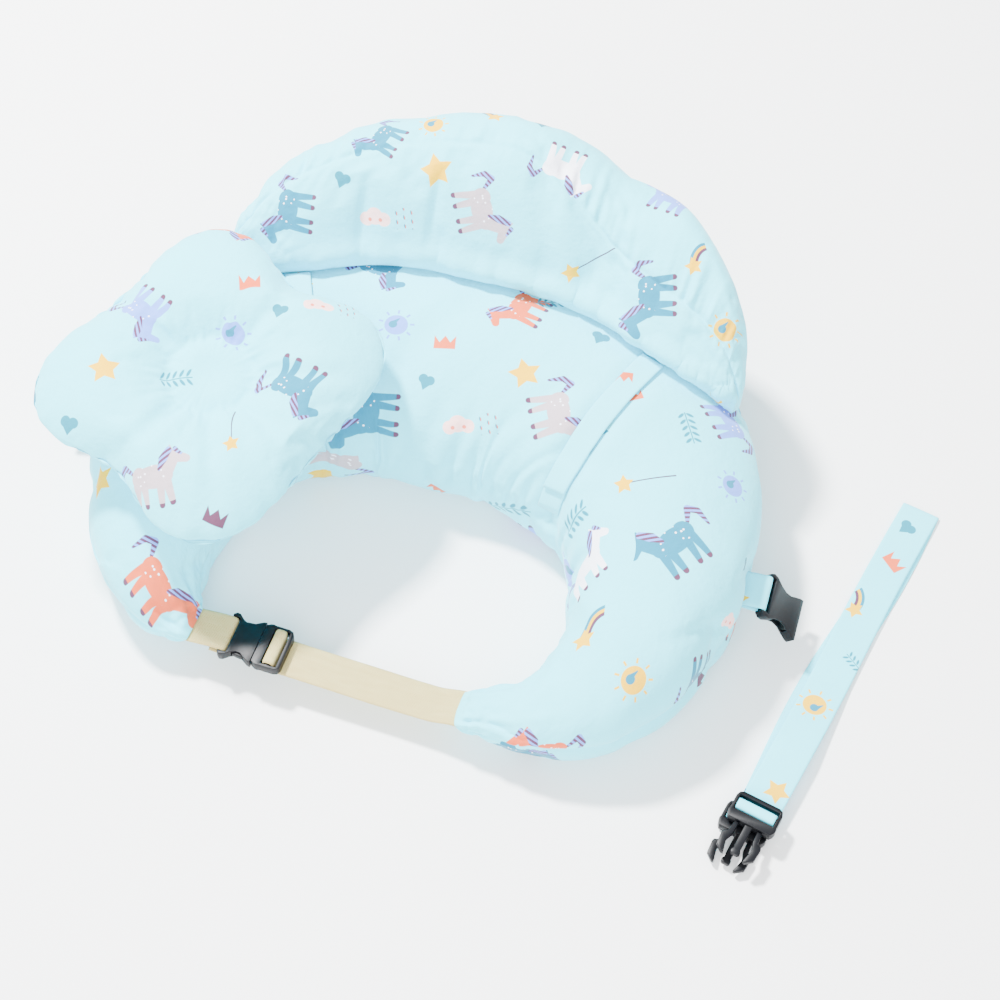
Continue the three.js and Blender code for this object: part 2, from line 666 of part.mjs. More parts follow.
add('guard_front_panel', guardPanel(0, FRONT_END, false), 'cloth');
add('guard_gathered_strip', guardPanel(FRONT_END, STRIP_END, false), 'clothShade');
add('guard_base_panel', guardPanel(STRIP_END, BASE_END, false), 'clothShade');
add('guard_filling', guardPanel(0, 0, true), 'fill');
for (const name of ['right', 'left']) {
  const parts = bandParts(name);
  add(`guard_band_${name}`, parts.band, 'cloth');
  add(`guard_band_hook_${name}`, parts.hook, 'hook');
  add(`main_band_anchor_${name}`, parts.anchor, 'clothShade');
}

add('head_top_cover', headTopCover(), 'cloth');
add('head_dent_panel', headDent(), 'cloth');
add('head_bottom_cover', headBottomCover(), 'clothShade');
add('head_filling', headFilling(), 'fill');

add('waist_web_short', shortWeb(), 'webbing');
add('waist_buckle_socket', onWaistBuckle(socket(WAIST_REACH)), 'plastic');
add('waist_web_long', longWeb(), 'webbing');
add('waist_buckle_plug', onWaistBuckle(plugBody(WAIST_REACH)), 'plastic');
add('waist_buckle_arm_back', onWaistBuckle(plugArm(1, WAIST_REACH)), 'plastic');
add('waist_buckle_arm_front', onWaistBuckle(plugArm(-1, WAIST_REACH)), 'plastic');
add('waist_web_turn', onWaistBuckle(sliderWrap(WEB_THICK)), 'webbing');

for (const [name, side] of [['right', 1], ['left', -1]]) {
  add(`side_tab_${name}`, sideTab(side), 'cloth');
  add(`side_socket_${name}`, sideSocket(side), 'plastic');
}

add('strap_band', strapBand(), 'cloth');
for (const [name, upper] of [['upper', true], ['lower', false]]) {
  add(`strap_plug_${name}`, onStrapEnd(plugBody(STRAP_REACH), upper), 'plastic');
  add(`strap_plug_${name}_arm_a`, onStrapEnd(plugArm(1, STRAP_REACH), upper), 'plastic');
  add(`strap_plug_${name}_arm_b`, onStrapEnd(plugArm(-1, STRAP_REACH), upper), 'plastic');
  add(`strap_turn_${name}`, onStrapEnd(sliderWrap(1.1), upper), 'cloth');
}

export default assembly;
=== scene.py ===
import math

import bmesh
import bpy
import numpy as np
from mathutils import Matrix, Vector
from mathutils.bvhtree import BVHTree


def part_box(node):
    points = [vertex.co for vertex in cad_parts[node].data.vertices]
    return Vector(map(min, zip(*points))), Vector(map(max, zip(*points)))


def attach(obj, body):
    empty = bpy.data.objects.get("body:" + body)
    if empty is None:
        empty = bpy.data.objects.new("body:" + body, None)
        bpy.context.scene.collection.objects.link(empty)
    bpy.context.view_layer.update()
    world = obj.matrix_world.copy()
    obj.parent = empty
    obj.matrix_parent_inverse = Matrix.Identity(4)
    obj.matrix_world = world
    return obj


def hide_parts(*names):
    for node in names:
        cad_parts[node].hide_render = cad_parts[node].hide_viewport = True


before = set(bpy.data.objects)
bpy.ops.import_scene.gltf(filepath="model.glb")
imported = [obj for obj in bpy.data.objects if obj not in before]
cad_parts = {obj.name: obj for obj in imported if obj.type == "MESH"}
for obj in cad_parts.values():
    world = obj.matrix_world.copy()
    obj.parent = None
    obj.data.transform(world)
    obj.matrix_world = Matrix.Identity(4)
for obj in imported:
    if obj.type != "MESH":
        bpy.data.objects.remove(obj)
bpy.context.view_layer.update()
MM = 0.001

# ---------------------------------------------------------------- dimensions in mm, as in the CAD
ROUNDNESS = 2.4
# Sections along the U: centre x and y, half width, then the heights of the top, the seam and the underside.
MAIN = [
    (-165, -349, 23, 44, 38, 32), (-179, -346, 29, 62, 41, 18), (-205, -326, 43, 92, 48, 2),
    (-227, -288, 60, 116, 57, -12), (-238, -240, 74, 131, 63, -16), (-240, -185, 87, 140, 67, -18),
    (-220, -118, 105, 146, 70, -18), (-172, -52, 126, 150, 70, -18), (-92, -5, 139, 150, 70, -18),
    (0, 4, 141, 150, 70, -18), (92, -5, 139, 150, 70, -18), (172, -52, 126, 150, 70, -18),
    (223, -118, 105, 146, 70, -18), (243, -185, 88, 140, 67, -18), (243, -240, 77, 132, 63, -16),
    (231, -290, 66, 118, 58, -12), (200, -332, 52, 96, 50, -2), (160, -354, 37, 74, 44, 6),
    (120, -361, 28, 58, 40, 20), (100, -362, 23, 44, 38, 32),
]
# The guard from its middle to its right end: foot x and y, depth, height, and which way it lies back
# in degrees.
GUARD_HALF = [
    (0, 42, 150, 116, 90), (60, 40, 149, 115, 88), (120, 28, 144, 108, 85), (170, 8, 136, 98, 82),
    (212, -8, 116, 80, 79), (243, -20, 80, 58, 76), (261, -25, 50, 38, 75), (273, -28, 28, 20, 75),
]
GUARD_LEFT_LESS = 0.13
# The guard's section, as shares of its depth and height: the front panel, then the gathered strip.
G_FRONT = [(0, 0), (0.1, 0.26), (0.27, 0.58), (0.44, 0.81), (0.6, 0.94)]
G_STRIP = [(0.6, 0.94), (0.76, 1.0), (0.9, 0.93), (0.99, 0.72), (1.0, 0.46), (0.93, 0.2), (0.8, 0)]
GUARD_BACK = 0.8  # share of the depth at which the strip meets the base
GUARD_DROP = 34
REST_GAP = 1.6  # left between the U and the cushions that lie on it
HEAD_LOBE, HEAD_WAIST, HEAD_UP, HEAD_DOWN = 169, 132, 36, 30
DENT_RADIUS, DENT_DEPTH = 41, 21
ZIP_Y, ZIP_HALF, ZIP_WIDE, ZIP_HIGH = 24, 136, 24, 4.0
HEAD = dict(x=-205, y=-166, z=176, turn=24, tilt=9, axis=19)
BAND_RIGHT = (np.array([186.0, -3.0]), np.array([127.0, -154.0]))
BAND_LEFT = (np.array([-176.0, -1.0]), np.array([-113.0, -148.0]))
BAND_WIDE = 25

# How much slimmer than in the CAD the U is before the simulation swells it, and the other cushions.
MAIN_SLIMMER, SLIMMER = 3.0, 2.5
PRESSURE, MOST_SWELL, SWELL_FRAMES = 5.0, 7.0, 20
# Where the print of a piece's lower side starts from that of its upper side.
MAIN_SHIFT, STRAP_SHIFT, HEAD_SHIFT = np.array([170.0, 95.0]), np.array([163.0, 88.0]), 700.0
# Depth and width of the groove that each sewn line draws in.
MAIN_SEAM, TOP_SEAM, BACK_SEAM, FOOT_SEAM = (2.8, 2.4), (3.8, 2.8), (2.0, 2.6), (1.5, 2.6)
RIM_SEAM, DENT_SEAM = (2.4, 2.6), (3.4, 2.3)
UNDER_GUARD = 2.2  # from the U's upper panel to the guard's base


def catmull(rows, t):
    """Points on the uniform spline through rows, at t from 0 to 1."""
    p = np.array(rows, float)
    p = np.vstack([2 * p[0] - p[1], p, 2 * p[-1] - p[-2]])
    n = len(rows) - 1
    t = np.clip(np.atleast_1d(t), 0, 1) * n
    k = np.minimum(t.astype(int), n - 1)
    w = (t - k)[:, None]
    start, end = p[k + 1], p[k + 2]
    leave, arrive = 0.5 * (end - p[k]), 0.5 * (p[k + 3] - start)
    rise = 3 * w**2 - 2 * w**3
    return (1 - rise) * start + (w**3 - 2 * w**2 + w) * leave + rise * end + (w**3 - w**2) * arrive


def main_frame(t):
    """The U's sections at t: centre, outward side, direction, half width, top, seam and low heights."""
    t = np.atleast_1d(t)
    p = catmull(MAIN, t)
    along = catmull(MAIN, np.minimum(1, t + 0.02)) - catmull(MAIN, np.maximum(0, t - 0.02))
    along = along[:, :2] / np.linalg.norm(along[:, :2], axis=1)[:, None]
    side = np.stack([-along[:, 1], along[:, 0]], 1)
    return p[:, :2], side, along, p[:, 2], p[:, 3], p[:, 4], p[:, 5]


PROBE = main_frame(np.linspace(0, 1, 301))


def top_height(xy, outside=0.0):
    """Height of the U's upper panel at each place in the plan."""
    c, side, along, half, top, seam, _ = PROBE
    d = xy[:, None, :] - c[None]
    off = np.abs((d * along[None]).sum(2))
    share = np.abs((d * side[None]).sum(2)) / half[None]
    off = np.where((share < 1) & (off < 14), off, 1e9)
    k = off.argmin(1)
    i = np.arange(len(xy))
    z = seam[k] + (top[k] - seam[k]) * np.clip(1 - share[i, k] ** ROUNDNESS, 0, 1) ** (1 / ROUNDNESS)
    return np.where(off[i, k] < 1e8, z, outside)


PRINT_TURN = math.radians(-17)  # the cloth's own grain against the object's X


def grained(uv):
    c, s = math.cos(PRINT_TURN), math.sin(PRINT_TURN)
    return uv @ np.array([[c, s], [-s, c]])


# ---------------------------------------------------------------- small curves
def smooth(x):
    """0 up to 0, 1 from 1 on, and an S between."""
    x = np.clip(x, 0, 1)
    return x * x * (3 - 2 * x)


def bell(x, width):
    return np.exp(-((x / width) ** 2))


def groove(distance, seam):
    """The furrow that a sewn line draws in."""
    depth, width = seam
    return -depth * bell(distance, width)


def beside(distance, reach, clear):
    """Strongest just beside a seam: nothing on the seam itself, faded out at reach."""
    return np.exp(-distance / reach) * (1 - np.exp(-distance / clear))


def crease(x, rims):
    """A valley at 0 with a soft rim on both sides."""
    return -bell(x, 1) + rims * bell(x - 1.7, 1) + rims * bell(x + 1.7, 1)


# ---------------------------------------------------------------- mesh helpers
def lengths(line):
    """Running length along a line of points."""
    return np.concatenate([[0], np.cumsum(np.linalg.norm(np.diff(line, axis=0), axis=1))])


def linked(name, data):
    obj = bpy.data.objects.new(name, data)
    bpy.context.scene.collection.objects.link(obj)
    return obj


def mesh_object(name, verts, faces, uvs):
    """A smooth piece from points in metres, with its print coordinates (mm) in the layer Print."""
    mesh = bpy.data.meshes.new(name)
    mesh.from_pydata(verts, [], faces)
    layer = mesh.uv_layers.new(name="Print")
    layer.data.foreach_set("uv", (np.array(uvs, float) * MM).astype(np.float32).ravel())
    mesh.update()
    obj = linked(name, mesh)
    face_outwards(obj)
    shade_smooth(mesh)
    return obj


def shade_smooth(mesh):
    mesh.polygons.foreach_set("use_smooth", [True] * len(mesh.polygons))


def face_outwards(obj):
    bm = bmesh.new()
    bm.from_mesh(obj.data)
    bmesh.ops.recalc_face_normals(bm, faces=bm.faces)
    if bm.calc_volume(signed=True) < 0:
        bmesh.ops.reverse_faces(bm, faces=bm.faces)
    bm.to_mesh(obj.data)
    bm.free()


def tube_object(name, P, uv_a, uv_b, split, poles=None):
    """A tube of rings P (rows, ring, xyz in mm), closed by a point at each end.

    Faces before ring index split take their print coordinates from uv_a, the others from uv_b."""
    n, m = P.shape[:2]
    verts = (P.reshape(-1, 3) * MM).tolist()
    faces, uvs = [], []

    def panel(j):
        """The coordinates of the panel at ring index j, and the column that ends this face."""
        uv = uv_a if j < split else uv_b
        last = m if uv.shape[1] > m else 0
        return uv, j + 1 if j + 1 < m else last

    for i in range(n - 1):
        for j in range(m):
            a, b, j2 = i * m, (i + 1) * m, (j + 1) % m
            faces.append((a + j, b + j, b + j2, a + j2))
            uv, end = panel(j)
            uvs += [uv[i, j], uv[i + 1, j], uv[i + 1, end], uv[i, end]]
    poles = poles or (P[0].mean(0), P[-1].mean(0))
    for row, pole in ((0, poles[0]), (n - 1, poles[1])):
        k = len(verts)
        verts.append((pole * MM).tolist())
        for j in range(m):
            uv, end = panel(j)
            pair = [(row * m + j, uv[row, j]), (row * m + (j + 1) % m, uv[row, end])]
            if row:
                pair.reverse()
            faces.append((pair[0][0], pair[1][0], k))
            uvs += [pair[0][1], pair[1][1], (uv[row, j] + uv[row, end]) / 2]
    return mesh_object(name, verts, faces, uvs)


def disc_object(name, P, uv, half):
    """Rows go round, columns from one pole to the other; each pole is closed with a fan."""
    n, m = P.shape[:2]
    verts = (P.reshape(-1, 3) * MM).tolist()
    faces, uvs = [], []
    for i in range(n):
        i2 = (i + 1) % n
        for j in range(m - 1):
            faces.append((i * m + j, i2 * m + j, i2 * m + j + 1, i * m + j + 1))
            shift = np.array([HEAD_SHIFT if j == half else 0.0, 0.0])
            uvs += [uv[i, j] + shift, uv[i2, j] + shift, uv[i2, j + 1], uv[i, j + 1]]
    for j in (0, m - 1):
        k = len(verts)
        verts.append((P[:, j].mean(0) * MM).tolist())
        mid = uv[:, j].mean(0)
        for i in range(n):
            a, b = ((i + 1) % n, i) if j == 0 else (i, (i + 1) % n)
            faces.append((a * m + j, b * m + j, k))
            uvs += [uv[a, j], uv[b, j], mid]
    return mesh_object(name, verts, faces, uvs)


def around(P, axis):
    """Steps from neighbour to neighbour along an axis that closes on itself."""
    return np.roll(P, -1, axis) - np.roll(P, 1, axis)


def normals(step_a, step_b, away):
    """Unit normals of a grid from its two steps, on the side that away points to."""
    n = np.cross(step_a, step_b)
    n /= np.maximum(np.linalg.norm(n, axis=2), 1e-9)[..., None]
    return n if (n * away).sum() >= 0 else -n


def stretch(G, count, closed):
    """A grid's rows resampled to count rows; closed when the first row follows the last."""
    a = len(G)
    at = np.arange(count) / count * a if closed else np.linspace(0, a - 1, count)
    k = np.minimum(at.astype(int), a - 1 if closed else a - 2)
    w = (at - k)[:, None, None]
    return G[k % a] * (1 - w) + G[(k + 1) % a] * w


def resample(G, n, m, rows_closed):
    """Bilinear resampling to n rows and m columns, one of which closes on itself."""
    return stretch(stretch(G, n, rows_closed).swapaxes(0, 1), m, not rows_closed).swapaxes(0, 1)


def swell(obj, P, pins):
    """Swells a coarse form by cloth simulation and returns how far each of its points moved, in mm."""
    group = obj.vertex_groups.new(name="pin")
    for index, weight in pins:
        group.add([int(index)], float(weight), "REPLACE")
    cloth = obj.modifiers.new("Cloth", "CLOTH")
    s = cloth.settings
    s.quality = 6
    s.mass = 0.25
    s.use_pressure = True
    s.uniform_pressure_force = PRESSURE
    s.tension_stiffness = s.compression_stiffness = 12
    s.shear_stiffness = 6
    s.bending_stiffness = 0.35
    s.shrink_min = -0.03
    s.vertex_group_mass = "pin"
    s.pin_stiffness = 2.0
    s.effector_weights.gravity = 0.0
    cloth.collision_settings.use_collision = False
    cloth.point_cache.frame_start, cloth.point_cache.frame_end = 1, SWELL_FRAMES + 1
    scene = bpy.context.scene
    for f in range(1, SWELL_FRAMES + 1):
        scene.frame_set(f)
    shown = obj.evaluated_get(bpy.context.evaluated_depsgraph_get())
    co = np.zeros(len(obj.data.vertices) * 3, np.float32)
    shown.data.vertices.foreach_get("co", co)
    start = P.reshape(-1, 3)
    moved = np.nan_to_num(co.reshape(-1, 3)[:len(start)].astype(float) / MM - start)
    far = np.linalg.norm(moved, axis=1)
    moved *= (np.minimum(far, MOST_SWELL) / np.maximum(far, 1e-9))[:, None]
    scene.frame_set(1)
    bpy.data.objects.remove(obj)
    return moved.reshape(P.shape)


def swell_tube(name, P, pins):
    unprinted = np.zeros((len(P), P.shape[1] + 1, 2))
    return swell(tube_object(name, P, unprinted, unprinted, P.shape[1]), P, pins)


def arc(P, axis):
    """Running length of a grid of points along one axis."""
    s = np.cumsum(np.linalg.norm(np.diff(P, axis=axis), axis=2), axis=axis)
    pad = [(0, 0), (0, 0)]
    pad[axis] = (1, 0)
    return np.pad(s, pad)


def ripple(x, wave, seed):
    """An uneven row of rounded folds along x."""
    r = np.random.default_rng(seed)
    out = np.zeros_like(x)
    for k in range(5):
        f = 2 * math.pi / wave * (0.6 + 0.28 * k) * (1 + 0.05 * r.standard_normal())
        out += np.sin(f * x + r.uniform(0, 7)) * (1.0 - 0.12 * k)
    return out / 2.6


def creases(S, d, places, spans, width, slant, seed):
    """Soft folds that start at distance 0 and run along d, at places along S, with (length, depth) spans."""
    r = np.random.default_rng(seed)
    out = np.zeros_like(S)
    for place, (length, depth) in zip(places, spans):
        lean, bow = slant * r.uniform(-1, 1), r.uniform(-0.003, 0.003)
        w = width * r.uniform(0.8, 1.3)
        x = (S - place - lean * d - bow * d * d) / (w + 0.06 * np.maximum(d, 0))
        out += depth * crease(x, 0.42) * smooth(1 - d / length) * smooth((d + 25) / 25)
    return out


# ---------------------------------------------------------------- main cushion
def main_points(n, m):
    """The U as n rings of m points, from the outer seam over the top, the inner seam and the underside."""
    c, side, _, half, top, seam, low = main_frame(np.linspace(0, 1, n))
    ang = 2 * math.pi * np.arange(m) / m
    co, si = np.cos(ang), np.sin(ang)
    u = (half[:, None] - MAIN_SLIMMER) * np.sign(co) * np.abs(co) ** (2 / ROUNDNESS)
    rise = np.where(si >= 0, (top - seam)[:, None], (seam - low)[:, None]) - MAIN_SLIMMER
    z = seam[:, None] + rise * np.sign(si) * np.abs(si) ** (2 / ROUNDNESS)
    P = np.empty((n, m, 3))
    P[..., :2] = c[:, None] + side[:, None] * u[..., None]
    P[..., 2] = np.maximum(z, 0.6 + MAIN_SLIMMER * 0.3)
    return P, c, side


def swollen_main():
    n0, m0, n, m = 110, 44, 264, 104
    fine, c, side = main_points(n, m)
    coarse = main_points(n0, m0)[0]
    pins = [(i * m0 + j, 0.9) for i in range(n0) for j in (0, m0 // 2)]
    pins += [(i * m0 + j, 1.0) for i in (0, 1, 2, n0 - 3, n0 - 2, n0 - 1) for j in range(m0)]
    pins += [(i * m0 + j, 0.85) for i in range(n0) for j in range(m0) if coarse[i, j, 2] < 4]
    return fine + resample(swell_tube("sim_main", coarse, pins), n, m, False), c, side


def under_guard(xy):
    """True for the places in the plan that the guard stands over."""
    rows = catmull(guard_rows(), np.linspace(0, 1, 160))
    side = leaning(rows)
    rel = xy[:, None, :] - rows[None, :, :2]
    out = (rel * side[None]).sum(2)
    off = np.abs(rel[..., 0] * side[None, :, 1] - rel[..., 1] * side[None, :, 0])
    return ((out > -9) & (out < rows[None, :, 2] + 8) & (off < 6)).any(1)


def press_down(P):
    """Keeps the U's upper panel at its own height where the guard or the head pillow lies on it."""
    flat = P.reshape(-1, 3)
    from_head = np.linalg.norm(flat[:, :2] - np.array([HEAD["x"], HEAD["y"]]), axis=1)
    under = under_guard(flat[:, :2]) | (from_head < HEAD_LOBE + 6)
    limit = top_height(flat[:, :2], 1e4)
    flat[:, 2] = np.where(under & (flat[:, 2] > 60), np.minimum(flat[:, 2], limit), flat[:, 2])


def lay_down(P):
    """Lifts what would lie lower than the U's upper panel."""
    flat = P.reshape(-1, 3)
    flat[:, 2] = np.maximum(flat[:, 2], top_height(flat[:, :2], -50) + REST_GAP)


def main_seams(S, inner, outer):
    """The sewn seams, pulled in, with small puckers beside them."""
    D = np.zeros_like(inner)
    for near, seed in ((np.abs(inner), 3), (outer, 4)):
        D += groove(near, MAIN_SEAM)
        D += 0.9 * ripple(S, 13, seed) * beside(near, 12, 3)
    return D


def main_folds(S, inner, length):
    """Folds from the inner seam, where the cloth is gathered round the tight curve."""
    r = np.random.default_rng(11)
    places = length * np.array([0.30, 0.345, 0.385, 0.43, 0.462, 0.49, 0.525, 0.56, 0.585, 0.615, 0.65,
                                0.69, 0.735, 0.78])
    spans = [(r.uniform(45, 120), r.uniform(1.6, 4.2)) for _ in places]
    spans[5], spans[7], spans[9] = (115, 4.6), (95, 4.0), (125, 4.4)
    small = length * np.linspace(0.16, 0.86, 40) + r.uniform(-6, 6, 40)
    small_spans = [(r.uniform(14, 34), r.uniform(0.6, 1.7)) for _ in small]
    return creases(S, inner, places, spans, 5.2, 0.35, 5) + creases(S, inner, small, small_spans, 3.6, 0.4, 6)


def tip_gathers(S, length, n, m):
    angle = np.arange(m)[None, :] / m * 2 * math.pi * np.ones((n, 1))
    D = np.zeros((n, m))
    for from_tip, seed in ((S, 21), (length - S, 22)):
        fold = np.sin(9 * angle + 0.02 * from_tip + seed) * 0.55
        fold += np.sin(14 * angle - 0.03 * from_tip + 2 * seed) * 0.45
        D += 2.6 * fold * np.exp(-from_tip / 42) * smooth(from_tip / 14)
    return D


def band_marks(P, is_top):
    """Where the bands press the U in, and the cloth that swells beside them."""
    D = np.zeros(P.shape[:2])
    for a, b in (BAND_RIGHT, BAND_LEFT):
        reach = np.linalg.norm(b - a)
        d = (b - a) / reach
        along, across = (P[..., :2] - a) @ d, np.abs((P[..., :2] - a) @ np.array([-d[1], d[0]]))
        press = np.exp(-((across / 15) ** 4)) * smooth((along + 12) / 20) * (P[..., 2] > 40)
        press *= smooth((reach + 60 - along) / 30)
        bulge = bell(across - 27, 13) * smooth((along + 12) / 40) * smooth((reach + 30 - along) / 30)
        D -= press * (2.2 + 5.5 * smooth(along / reach)) * is_top
        D += bulge * 1.6 * is_top * (P[..., 2] > 60)
    return D


def step_over_zip(P):
    """The underside lies flat and steps up over the zip."""
    x, y = np.abs(P[..., 0]), np.abs(P[..., 1] - ZIP_Y)
    step = smooth((ZIP_HALF + 4 - x) / 3) * smooth((ZIP_WIDE / 2 + 4 - y) / 3)
    P[..., 2] = np.maximum(P[..., 2], 0.5 + ZIP_HIGH * step)


def main_print(ring, c, side, m):
    """Print coordinates of the two panels, unrolled across the section."""
    crown, low = m // 4, 3 * m // 4
    across = ring - ring[:, crown:crown + 1]
    across[:, m] = across[:, 0]
    upper = c[:, None, :] - side[:, None, :] * across[..., None]
    across = ring - ring[:, low:low + 1]
    lower = c[:, None, :] + side[:, None, :] * across[..., None] + MAIN_SHIFT
    return grained(upper), grained(lower)


def build_main():
    P, c, side = swollen_main()
    n, m = P.shape[:2]
    S = arc(np.concatenate([c, np.zeros((n, 1))], 1)[:, None, :], 0)[:, :1] * np.ones((1, m))
    ring = arc(np.concatenate([P, P[:, :1]], 1), 1)
    # distances over the surface from the inner seam (ring index m/2) and from the outer one (index 0)
    inner = ring[:, m // 2, None] - ring[:, :m]
    outer = np.minimum(ring[:, :m], ring[:, -1:] - ring[:, :m])
    length = S[-1, 0]
    is_top = np.arange(m)[None, :] <= m // 2
    D = main_seams(S, inner, outer) + main_folds(S, inner, length) + tip_gathers(S, length, n, m) * is_top
    D += 1.5 * ripple(S + 0.5 * inner, 46, 31) * bell(inner - 28, 34) * is_top
    D += 1.3 * ripple(S - 0.6 * inner, 85, 33)
    D += band_marks(P, is_top)
    D = np.where(P[..., 2] < 6, 0, D)
    P = P + normals(np.gradient(P, axis=0), around(P, 1), P - P.mean(1, keepdims=True)) * D[..., None]
    step_over_zip(P)
    press_down(P)
    inwards = np.array([-2.0, 0, 0])
    poles = (P[0].mean(0) + inwards, P[-1].mean(0) + inwards)
    return tube_object("main_cushion", P, *main_print(ring, c, side, m), m // 2, poles)


# ---------------------------------------------------------------- guard cushion
def guard_rows():
    left = []
    for x, y, depth, height, angle in GUARD_HALF[1:][::-1]:
        less = 1 - GUARD_LEFT_LESS * (x / 274)
        left.append((-x * (1 + less) / 2, y, depth * less, height * less, 180 - angle))
    return left + GUARD_HALF


def leaning(rows):
    """Which way each row of the guard lies back, in the plan."""
    return np.stack([np.cos(np.radians(rows[:, 4])), np.sin(np.radians(rows[:, 4]))], 1)


def guard_section():
    """The section's outline, how far along it each of its points is, and where the front panel ends."""
    front = catmull([(a, b, 0) for a, b in G_FRONT], np.linspace(0, 1, 61))[:-1, :2]
    strip = catmull([(a, b, 0) for a, b in G_STRIP], np.linspace(0, 1, 81))[:, :2]
    whole = np.vstack([front, strip])
    run = lengths(whole)
    return whole, run / run[-1], (run / run[-1])[len(front)]


def shaped_rows(n):
    """The guard's rows, a little lower and shallower where the photograph shows it."""
    rows = catmull(guard_rows(), np.linspace(0, 1, n))
    dip = bell(rows[:, 0] - 118, 52)
    rows[:, 2] -= 8 * dip + 12 * bell(rows[:, 0] - 212, 36)
    rows[:, 3] *= 1 - 0.14 * dip + 0.06 * bell(rows[:, 0] - 8, 45)
    return rows


def guard_points(n, counts):
    """The guard as n rings: counts points over the front panel, over the strip and along the base."""
    rows = shaped_rows(n)
    side = leaning(rows)
    whole, run, seam = guard_section()
    # the front panel is narrower towards the right end
    seam_at = seam - 0.17 * bell(rows[:, 0] - 165, 95)
    foot = top_height(rows[:, :2], 80) + UNDER_GUARD
    P = np.empty((n, sum(counts), 3))
    for i in range(n):
        x, y, depth, height = rows[i, :4]
        ub = GUARD_BACK * depth * (1 - np.arange(1, counts[2]) / counts[2])
        lowest = foot[i] - GUARD_DROP
        base = np.maximum(top_height(rows[i, :2] + side[i] * ub[:, None]) + UNDER_GUARD, lowest)
        back = top_height(rows[i:i + 1, :2] + side[i] * GUARD_BACK * depth)[0] + UNDER_GUARD
        drop = max(back, lowest) - foot[i]
        at = np.concatenate([np.linspace(0, seam_at[i], counts[0] + 1)[:-1],
                             np.linspace(seam_at[i], 1, counts[1] + 1)])
        out, up = (np.interp(at, run, whole[:, k]) for k in (0, 1))
        v = foot[i] + up * height + drop * (1 - up) ** 2 * out / GUARD_BACK
        uv = np.vstack([np.stack([out * depth, v], 1), np.stack([ub, base], 1)])
        away = uv - uv.mean(0)
        size = np.linalg.norm(away, axis=1)[:, None]
        uv = uv.mean(0) + away * np.maximum(1 - SLIMMER / np.maximum(size, 1), 0.6)
        P[i, :, :2] = (x, y) + side[i] * uv[:, :1]
        P[i, :, 2] = uv[:, 1]
    return P, rows, side


def swollen_guard(n, k):
    fine, rows, side = guard_points(n, k)
    n0, k0 = n // 3, [count // 3 for count in k]
    coarse = guard_points(n0, k0)[0]
    m0 = sum(k0)
    seams = (0, k0[0], k0[0] + k0[1])
    pins = [(i * m0 + j, 0.95) for i in range(n0) for j in seams]
    pins += [(i * m0 + j, 0.8) for i in range(n0) for j in range(k0[0] + k0[1], m0)]
    pins += [(i * m0 + j, 1.0) for i in (0, 1, n0 - 2, n0 - 1) for j in range(m0)]
    return fine + resample(swell_tube("sim_guard", coarse, pins), n, sum(k), False), rows, side


def strip_gathers(S, from_top, from_back, span, size):
    """The strip is gathered into both of its seams, unevenly and more towards the right."""
    q = np.clip(from_top / span, 0, 1)
    wander = 7 * np.sin(S / 37.0) * q + 4 * np.sin(S / 13.0) * q
    uneven = 0.75 + 0.45 * np.sin(S / 23.0 + 1.0) + 0.35 * np.sin(S / 61.0)
    more = 1 + 0.5 * smooth((S / S[-1] - 0.45) / 0.2)
    fold = ripple(S + wander, 19, 41) + 0.7 * ripple(S + wander * 1.5, 10, 42)
    near = np.exp(-np.abs(from_top) / (15 + 6 * uneven)) + 0.8 * np.exp(-np.abs(from_back) / 16)
    D = size * 3.1 * uneven * more * fold * near * (1 - np.exp(-np.abs(from_top) / 2.5))
    return D + size * 0.7 * ripple(S + 9 * q, 52, 43) * np.sin(math.pi * q)


def front_relief(S, from_top, from_foot, x, size):
    """Puckers under the top seam, soft folds, and the roll with which the panel hangs over its own foot."""
    D = 0.8 * ripple(S, 15, 44) * beside(np.abs(from_top), 14, 3)
    D += 1.6 * ripple(S + 0.5 * from_top, 90, 45) * size
    roll = (5.0 + 5.5 * smooth((x + 80) / 140)) * size
    D += roll * bell(from_foot - 15, 12) * smooth(from_foot / 5)
    ends = np.exp(-S / 60) + np.exp(-(S[-1:] - S) / 60)
    return D + 2.4 * ripple(from_foot * 1.3 + 0.25 * S, 30, 46) * ends * size


def build_guard():
    n, k = 252, (36, 48, 30)
    j_top, j_back, m = k[0], k[0] + k[1], sum(k)
    P, rows, side = swollen_guard(n, k)
    S = arc(P[:, j_top:j_top + 1], 0) * np.ones((1, m))
    ring = arc(np.concatenate([P, P[:, :1]], 1), 1)
    from_top = ring[:, :m] - ring[:, j_top:j_top + 1]
    from_back = ring[:, :m] - ring[:, j_back:j_back + 1]
    from_foot = np.minimum(ring[:, :m], ring[:, -1:] - ring[:, :m])
    span = np.maximum(ring[:, j_back:j_back + 1] - ring[:, j_top:j_top + 1], 1)
    size = smooth(rows[:, 3:4] / 60)
    at = np.arange(m)[None, :]
    D = groove(from_top, TOP_SEAM) + groove(from_back, BACK_SEAM) + groove(from_foot, FOOT_SEAM)
    D += np.where((at > j_top) & (at < j_back), strip_gathers(S, from_top, from_back, span, size), 0)
    D += np.where(at <= j_top, front_relief(S, from_top, from_foot, rows[:, :1], size), 0)
    P = P + normals(np.gradient(P, axis=0), around(P, 1), P - P.mean(1, keepdims=True)) * D[..., None]
    lay_down(P)
    uv = grained(rows[:, None, :2] + side[:, None, :] * ring[..., None])
    return tube_object("guard_cushion", P, uv, uv, j_top)


# ---------------------------------------------------------------- head pillow
def head_radius(angle):
    lean = np.radians(-2 + 4 * np.cos(angle) + 6 * np.cos(2 * angle))
    return (HEAD_LOBE + HEAD_WAIST) / 2 + (HEAD_LOBE - HEAD_WAIST) / 2 * np.cos(4 * (angle - lean))


